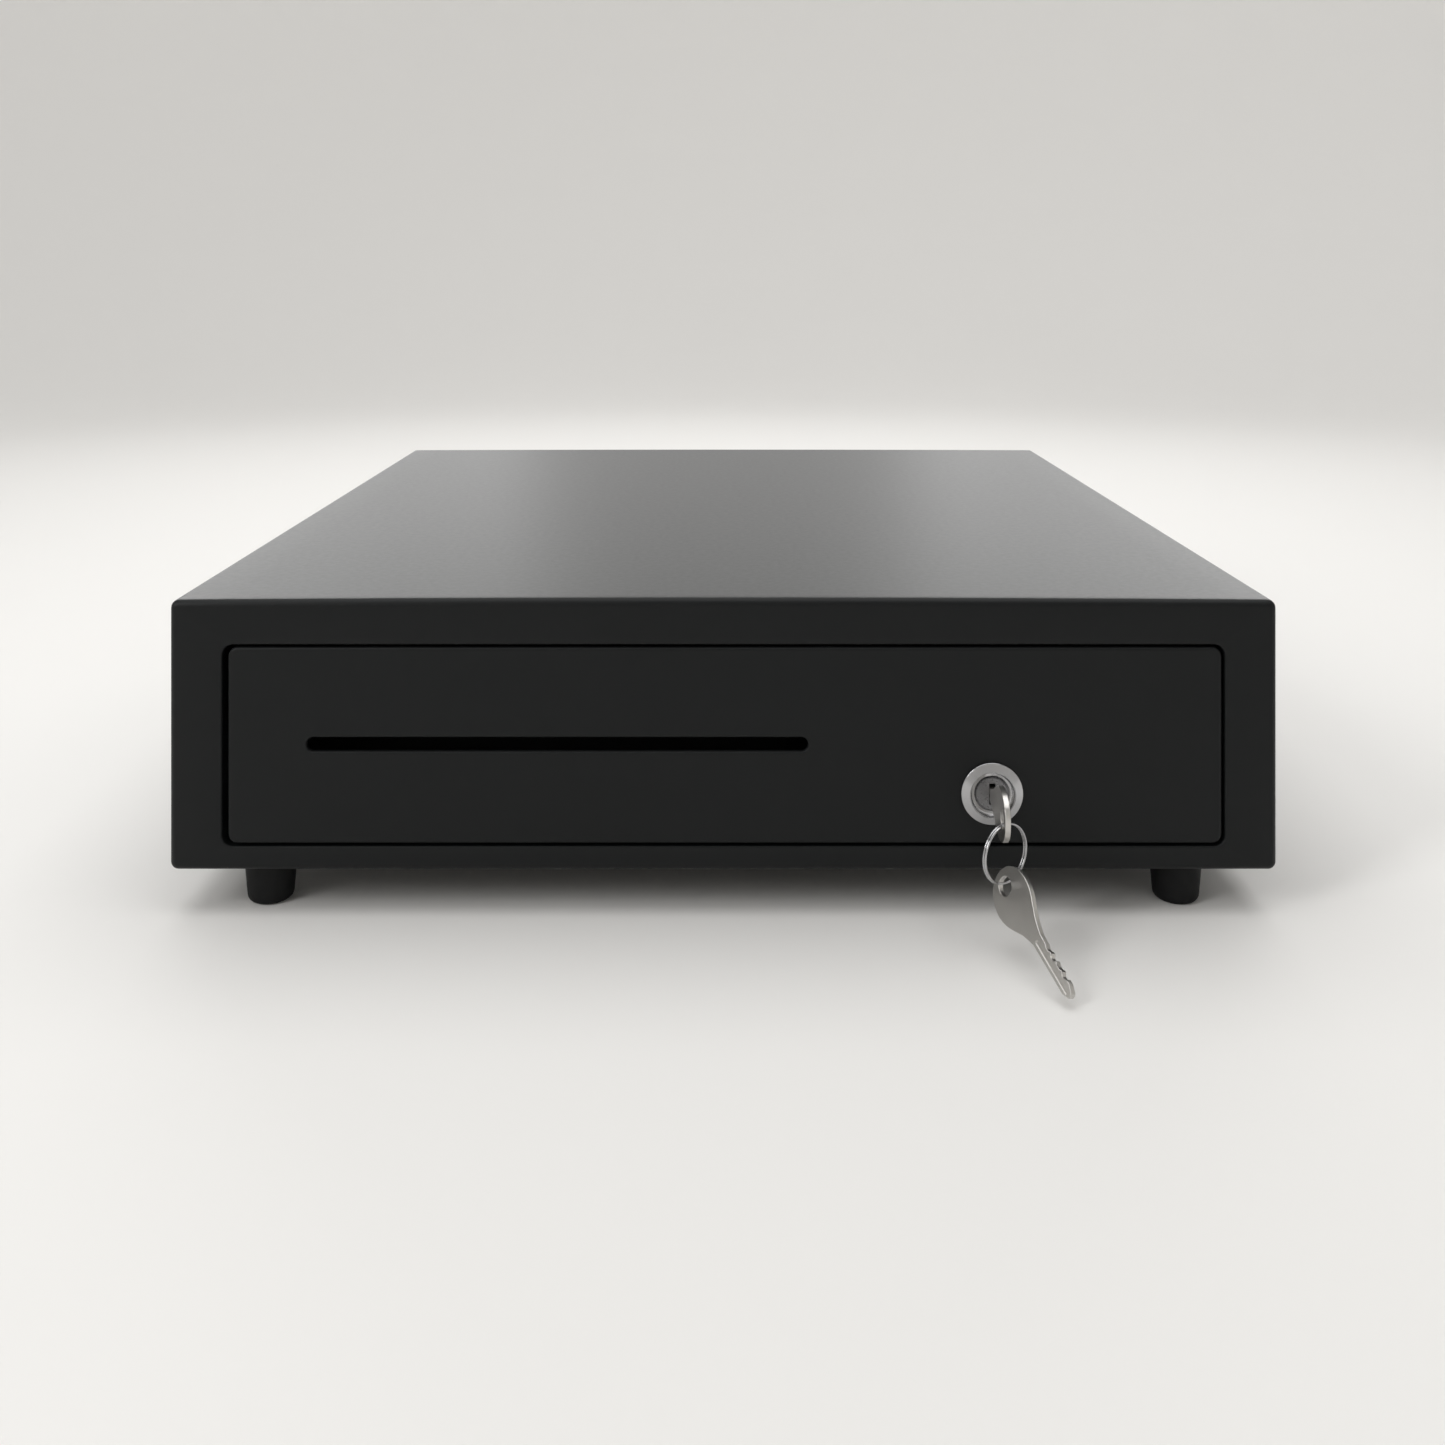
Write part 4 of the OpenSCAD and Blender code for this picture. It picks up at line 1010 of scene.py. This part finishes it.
# %% Coil springs
def helix(bm, base, axis, mean, wire, length, turns, steps=18):
    before = set(bm.verts)
    upright_circle = Matrix.Translation((mean * MM, 0, wire * MM)) @ degrees("X", 90)
    made = bmesh.ops.create_circle(bm, radius=wire * MM, segments=8, matrix=upright_circle)["verts"]
    start = edges_of(made)
    climb = (length - 2 * wire) / turns / steps * MM
    spun = bmesh.ops.spin(bm, geom=made + start, cent=(0, 0, 0), axis=UP, dvec=(0, 0, climb),
                          angle=math.tau * turns, steps=int(steps * turns))
    cap(bm, start)
    cap(bm, [e for e in spun["geom_last"] if isinstance(e, bmesh.types.BMEdge)])
    bmesh.ops.transform(bm, matrix=aimed(base, axis), verts=[v for v in bm.verts if v not in before])


bm = bmesh.new()
for mid in bay_mids:
    helix(bm, at(mid + 13.4, ROD_Y, ROD_Z), ALONG_X, 2.75, 0.36, 6.7, 7)
stand_for(bm, "clip_spring_set", "clip_springs", angle=60)
bm = bmesh.new()
helix(bm, at(80, 372.6, 51), (0, -1, 0), 4.7, 0.55, 27.2, 17)
stand_for(bm, "kick_coil", "kick_spring", angle=60)
bm = bmesh.new()
helix(bm, at(-36.2, 381, 47.6), ALONG_X, 1.9, 0.36, 8.6, 9)
stand_for(bm, "latch_coil", "latch_spring", angle=60)

# %% [markdown]
# ## Slides
# Each ball slide has three rolled channels, one in another, that run on two rows of balls held in
# thin cages. A channel's section is a bent strip, with the bend radius of the rolling mill.

# %% Rails and brackets
RAIL_X, RAIL_Z = 186.2, 45.0
FLANGE, FLANGE_TOP = 20.15, 20.9
SECTIONS = {
    "outer": (14, 354, 1.2, [(9.6, 15.4), (9.6, 16.9), (0.6, 16.9), (0.6, -16.9), (9.6, -16.9), (9.6, -15.4)]),
    "middle": (16, 346, 1.0, [(10.3, 13.3), (10.3, 12.0), (2.7, 12.0), (2.7, -12.0), (10.3, -12.0), (10.3, -13.3)]),
    "inner": (14, 340, 1.0, [(4.4, 8.5), (4.4, 7.2), (12.2, 7.2), (12.2, -7.2), (4.4, -7.2), (4.4, -8.5)]),
}
for hand, side in (("left", -1), ("right", 1)):
    for kind, (y0, y1, thick, path) in SECTIONS.items():
        bm = bmesh.new()
        profile = ribbon([(side * (RAIL_X - u), RAIL_Z + v) for u, v in path], thick, 0.7)
        prism(bm, profile, upright, y0, y1)
        stand_for(bm, f"{kind}_slide_{hand}", f"{kind}_rail_{hand}")
    bm = bmesh.new()
    channel = [(203.4, FLANGE), (186.95, FLANGE), (186.95, 64.25), (203.4, 64.25)]
    prism(bm, ribbon([(side * u, v) for u, v in channel], 1.5, 2), upright, 14, 360)
    stand_for(bm, f"slide_bracket_{hand}", f"rail_bracket_{hand}")

# %% Ball cages
BALL_R, BALL_STEP = 1.8, 22.0
for hand, side in (("left", -1), ("right", 1)):
    for kind, inset, depth, height, ball_in in (("outer", 1.5, 8.4, 14.4, 5.5), ("inner", 3.38, 9.4, 9.6, 7.0)):
        bm = bmesh.new()
        strip = [(depth, height), (inset + 0.18, height), (inset + 0.18, -height), (depth, -height)]
        prism(bm, ribbon([(side * (RAIL_X - u), RAIL_Z + v) for u, v in strip], 0.35, 0.5), upright, 90, 264)
        for k in range(8):
            for z in (-height, height):
                centre = at(side * (RAIL_X - ball_in), 100 + BALL_STEP * k, RAIL_Z + z)
                bmesh.ops.create_uvsphere(bm, u_segments=16, v_segments=10, radius=BALL_R * MM,
                                          matrix=Matrix.Translation(centre))
        stand_for(bm, f"{kind}_balls_{hand}", f"{kind}_cage_{hand}", angle=50)

# %% Screws of the slides and brackets
SLIDE_SCREWS, BASE_SCREWS = (40, 170, 300), (60, 280)
slide_groups, box_groups = [], []
for side in (-1, 1):
    outwards = (side, 0, 0)
    slide_groups += [([(side * 187.7, y, RAIL_Z) for y in SLIDE_SCREWS], outwards, 3.8, 1.7, 2.4),
                     ([(side * (HALF_W - 9), y, FLANGE_TOP) for y in BASE_SCREWS], UP, 3.8, 1.7, 2.4)]
    box_groups.append(([(side * 174.5, y, RAIL_Z) for y in SLIDE_SCREWS], outwards, 3.2, 1.3, 1.8))
screw_set("slide_screw_set", "rail_screws", *slide_groups)
screw_set("box_screw_set", "inner_rail_screws", *box_groups)
places = [(LOCK_X + x, 31, 20.6) for x in (-14, 14)]
places += [(x, y, FLANGE_TOP) for x, y in ((-52, 393), (57, 393), (80, 385), (-85, 355))]
screw_set("bracket_screw_set", "bracket_screws", (places, UP, 3.6, 1.8, 2.6))

# %% [markdown]
# ## Behind the lock
# The nut holds the barrel from behind, and the cam on the plug's tail turns down behind an upright
# keeper on the base. All are stamped plates cut to outline; the nut and the cam are lightly rounded
# at their edges.

# %% Nut, cam and keeper
bm = bmesh.new()
prism(bm, arc(LOCK_X, LOCK_Z, 13, 0, 300, 5), upright, 2.2, 6.2, holes=[round_hole(LOCK_X, LOCK_Z, 9.45, 48)])
soften(stand_for(bm, "barrel_nut", "lock_nut"), 0.5)
bm = bmesh.new()
cam = arc(LOCK_X, LOCK_Z, 7, 45.6, 314.4, 24)
cam += [(LOCK_X + u, LOCK_Z + v) for u, v in ((20.8, -5), (22, -3.8), (22, 1.8), (20.8, 3), (19.4, 3.4), (18.6, 5))]
prism(bm, cam, upright, 20.3, 22.3, holes=[round_hole(LOCK_X, LOCK_Z, 3.05)])
soften(stand_for(bm, "cam_plate", "lock_cam"), 0.25)
bm = bmesh.new()
prism(bm, ribbon([(18.75, 27.6), (18.75, 20), (36, 20)], 1.3, 1.4), beside, LOCK_X - 20, LOCK_X + 20)
stand_for(bm, "keeper_angle", "lock_keeper")

# %% [markdown]
# ## The latch
# A hook turns on a shouldered pin and holds the strike pin on the drawer's back. A solenoid in a
# bent frame pulls the hook free through its plunger. These are flat stampings and turned pins.

# %% Strike and hook
BOX_REAR, STRIKE_Y = 345, 361
HOOK_AXIS, HOOK_SWING = at(-15, 388, 0), -11
bm = bmesh.new()
prism(bm, rounded(-22, 22, 37, 61, 3), upright, BOX_REAR, BOX_REAR + 1.5,
      holes=[round_hole(x, 57, 2.05) for x in (-15, 15)])
for z in (40, 49.5):
    ear = [(-9, BOX_REAR + 0.6)] + arc(-4, STRIKE_Y, 5, 180, 90, 5) + arc(4, STRIKE_Y, 5, 90, 0, 5)
    prism(bm, ear + [(9, BOX_REAR + 0.6)], level, z, z + 1.5)
turned([(0, -1.6), (2, -1.6), (2.5, -1.2), (2.5, 10.2), (2, 10.6), (0, 10.6)], at(0, STRIKE_Y, 41), UP, 32, bm)
soften(stand_for(bm, "strike", "strike_plate"), 0.2)
bm = bmesh.new()
# The hook's outline is drawn with its pin at the origin and then set in place.
hook = arc(0, 0, 6.5, -52, 52, 8) + arc(0, 15, 5, -37, 217, 20) + arc(0, 0, 6.5, 128, 232, 8)
hook += [(-4, -36.5), (-2.6, -38.6), (6, -41), (15.4, -34.8), (16.5, -33), (16.5, -31), (15.5, -30), (5.4, -30)]
hook.append((4, -28.6))
prism(bm, hook, near_origin, 44, 47,
      holes=[round_hole(0, 0, 3.05), rounded(-1.85, 1.85, 11.5, 17, 1.8), round_hole(-1.5, -27, 1.2, 12)])
bmesh.ops.transform(bm, matrix=Matrix.Translation(HOOK_AXIS) @ degrees("Z", HOOK_SWING), verts=bm.verts)
soften(stand_for(bm, "hook_plate", "latch_hook"), 0.2)
pin = [(0, 30.5), (3, 30.5), (3, 33), (5, 33), (5, 43.7), (3, 43.7), (3, 47.3), (5, 47.3), (5, 48.3), (4.2, 49),
       (0, 49)]
bm = turned(pin, HOOK_AXIS, UP, 40)
stand_for(bm, "hook_pin", "latch_pivot")

# %% Brackets, solenoid and spring post
bm = bmesh.new()
legs = [(-58, FLANGE), (-43.25, FLANGE), (-43.25, 32.25), (48.25, 32.25), (48.25, FLANGE), (63, FLANGE)]
prism(bm, ribbon(legs, 1.5, 2), upright, 375, 401)
prism(bm, rounded(-41, 46, 400.8, 413, 0.6), level, 31.5, 33)
turned([(0, 0), (1.5, 0), (1.5, 17.2), (1.1, 17.6), (0, 17.6)], at(-38, 381, 32.4), UP, 20, bm)
stand_for(bm, "latch_bridge", "latch_bracket")
bm = bmesh.new()
prism(bm, ribbon([(-2.2, 57), (-2.2, 33.8), (36.2, 33.8), (36.2, 57)], 1.6, 1.6), upright, 391, 412)
stand_for(bm, "solenoid_yoke", "solenoid_frame")
COIL_END, WIRE_PITCH = at(-1.1, 402, 45.5), 0.84
winding = [(4.3, 0), (9.6, 0), (9.8, 0.2), (9.8, 1.8), (9.6, 2.0)]
for k in range(38):
    winding += [(r, z + WIRE_PITCH * k) for r, z in ((8.55, 2.1), (8.8, 2.4), (8.8, 2.66))]
winding += [(8.55, 34.1), (9.6, 34.2), (9.8, 34.4), (9.8, 36), (9.6, 36.2), (0, 36.2)]
bm = turned(winding, COIL_END, ALONG_X, 48)
turned([(0, 33.1), (4.3, 33.1), (4.3, 0)], COIL_END, ALONG_X, 48, bm)
stand_for(bm, "coil_winding", "solenoid_coil")
bm = bmesh.new()
prism(bm, ribbon([(373.75, 63), (373.75, FLANGE), (393, FLANGE)], 1.5, 2), beside, 68, 92)
turned([(0, -1), (3.5, -1), (3.5, 17.4), (3.1, 18), (0, 18)], at(80, 373, 51), (0, -1, 0), 32, bm)
stand_for(bm, "kick_post", "spring_post")

# %% [markdown]
# ## Switch, jack and wiring
# A small switch senses the closed drawer through its red button, and the jack on the back takes
# the cable from a receipt printer. Both are moulded housings. A lead runs from the jack to the
# switch and another to the solenoid, each a circle carried along a path with rounded corners.

# %% Switch and jack
SWITCH_Y, JACK_FACE = (349.5, 360), 415.5
bm = bmesh.new()
prism(bm, rounded(-80, -60, 19.4, 41, 1.2), upright, *SWITCH_Y)
prism(bm, rounded(-90, -79, 19.4, FLANGE_TOP, 0.5), upright, *SWITCH_Y)
soften(stand_for(bm, "switch_case", "switch_body"), 0.4)
button = [(1.8 * math.sin(a), 1.2 * (1 - math.cos(a))) for a in quarter(6)] + [(1.8, 7.2), (0, 7.2)]
bm = turned(button, at(-70, 345.3, 36), (0, 1, 0), 32)
stand_for(bm, "red_button", "switch_button")
bm = bmesh.new()
shell = [outline(bm, JACK_X - 7, JACK_X + 7, 37.2, 51, 0.6, upright(y)) for y in (398, JACK_FACE)]
skin(bm, shell)
cap(bm, shell[0])
mouth = [(-5, 41), (-2, 41), (-2, 39), (2, 39), (2, 41), (5, 41), (5, 48), (-5, 48)]
socket = [ring_of(bm, [(JACK_X + u, v) for u, v in mouth], upright(y)) for y in (JACK_FACE, 402)]
skin(bm, socket)
cap(bm, socket[1])
cap(bm, shell[1], socket[0])
soften(stand_for(bm, "jack_housing", "cable_jack"), 0.3)


# %% Wiring
def tube(bm, route, radius, bend):
    points = [at(*p) for p in filleted(route, bend, 6)]
    points = [p for p, q in zip(points, points[1:] + [None]) if q is None or (p - q).length > 1e-6]
    loops, heading, matrix = [], UP.copy(), Matrix.Identity(4)
    for i, p in enumerate(points):
        along = (points[min(i + 1, len(points) - 1)] - points[max(i - 1, 0)]).normalized()
        matrix = heading.rotation_difference(along).to_matrix().to_4x4() @ matrix
        heading = along
        made = bmesh.ops.create_circle(bm, radius=radius * MM, segments=10,
                                       matrix=Matrix.Translation(p) @ matrix)["verts"]
        loops.append(edges_of(made))
    skin(bm, loops)
    cap(bm, loops[0])
    cap(bm, loops[-1])


bm = bmesh.new()
tube(bm, [(-93, 398.2, 44), (-93, 389, 44), (-93, 389, 20.9), (-74, 389, 20.9), (-74, 359.8, 20.9)], 1.0, 4)
tube(bm, [(-87, 398.2, 44), (-87, 389, 44), (-87, 389, 60), (17, 389, 60), (17, 402, 60), (17, 402, 54)], 1.0, 4)
stand_for(bm, "leads", "wiring", angle=60)

# %% [markdown]
# ## The base
# The base plate closes the case from below. It is a plain flat sheet with six vent holes, drawn as
# one outline with its holes left out.

# %% Base plate
bm = bmesh.new()
vents = [round_hole(x, y, 3) for x in (-62, 62) for y in (80, 200, 320)]
prism(bm, rounded(-HALF_W + 3, HALF_W - 3, 1.5, DEPTH, 1), level, 18.2, 19.4, holes=vents)
soften(stand_for(bm, "base_sheet", "base_plate"), 0.2)
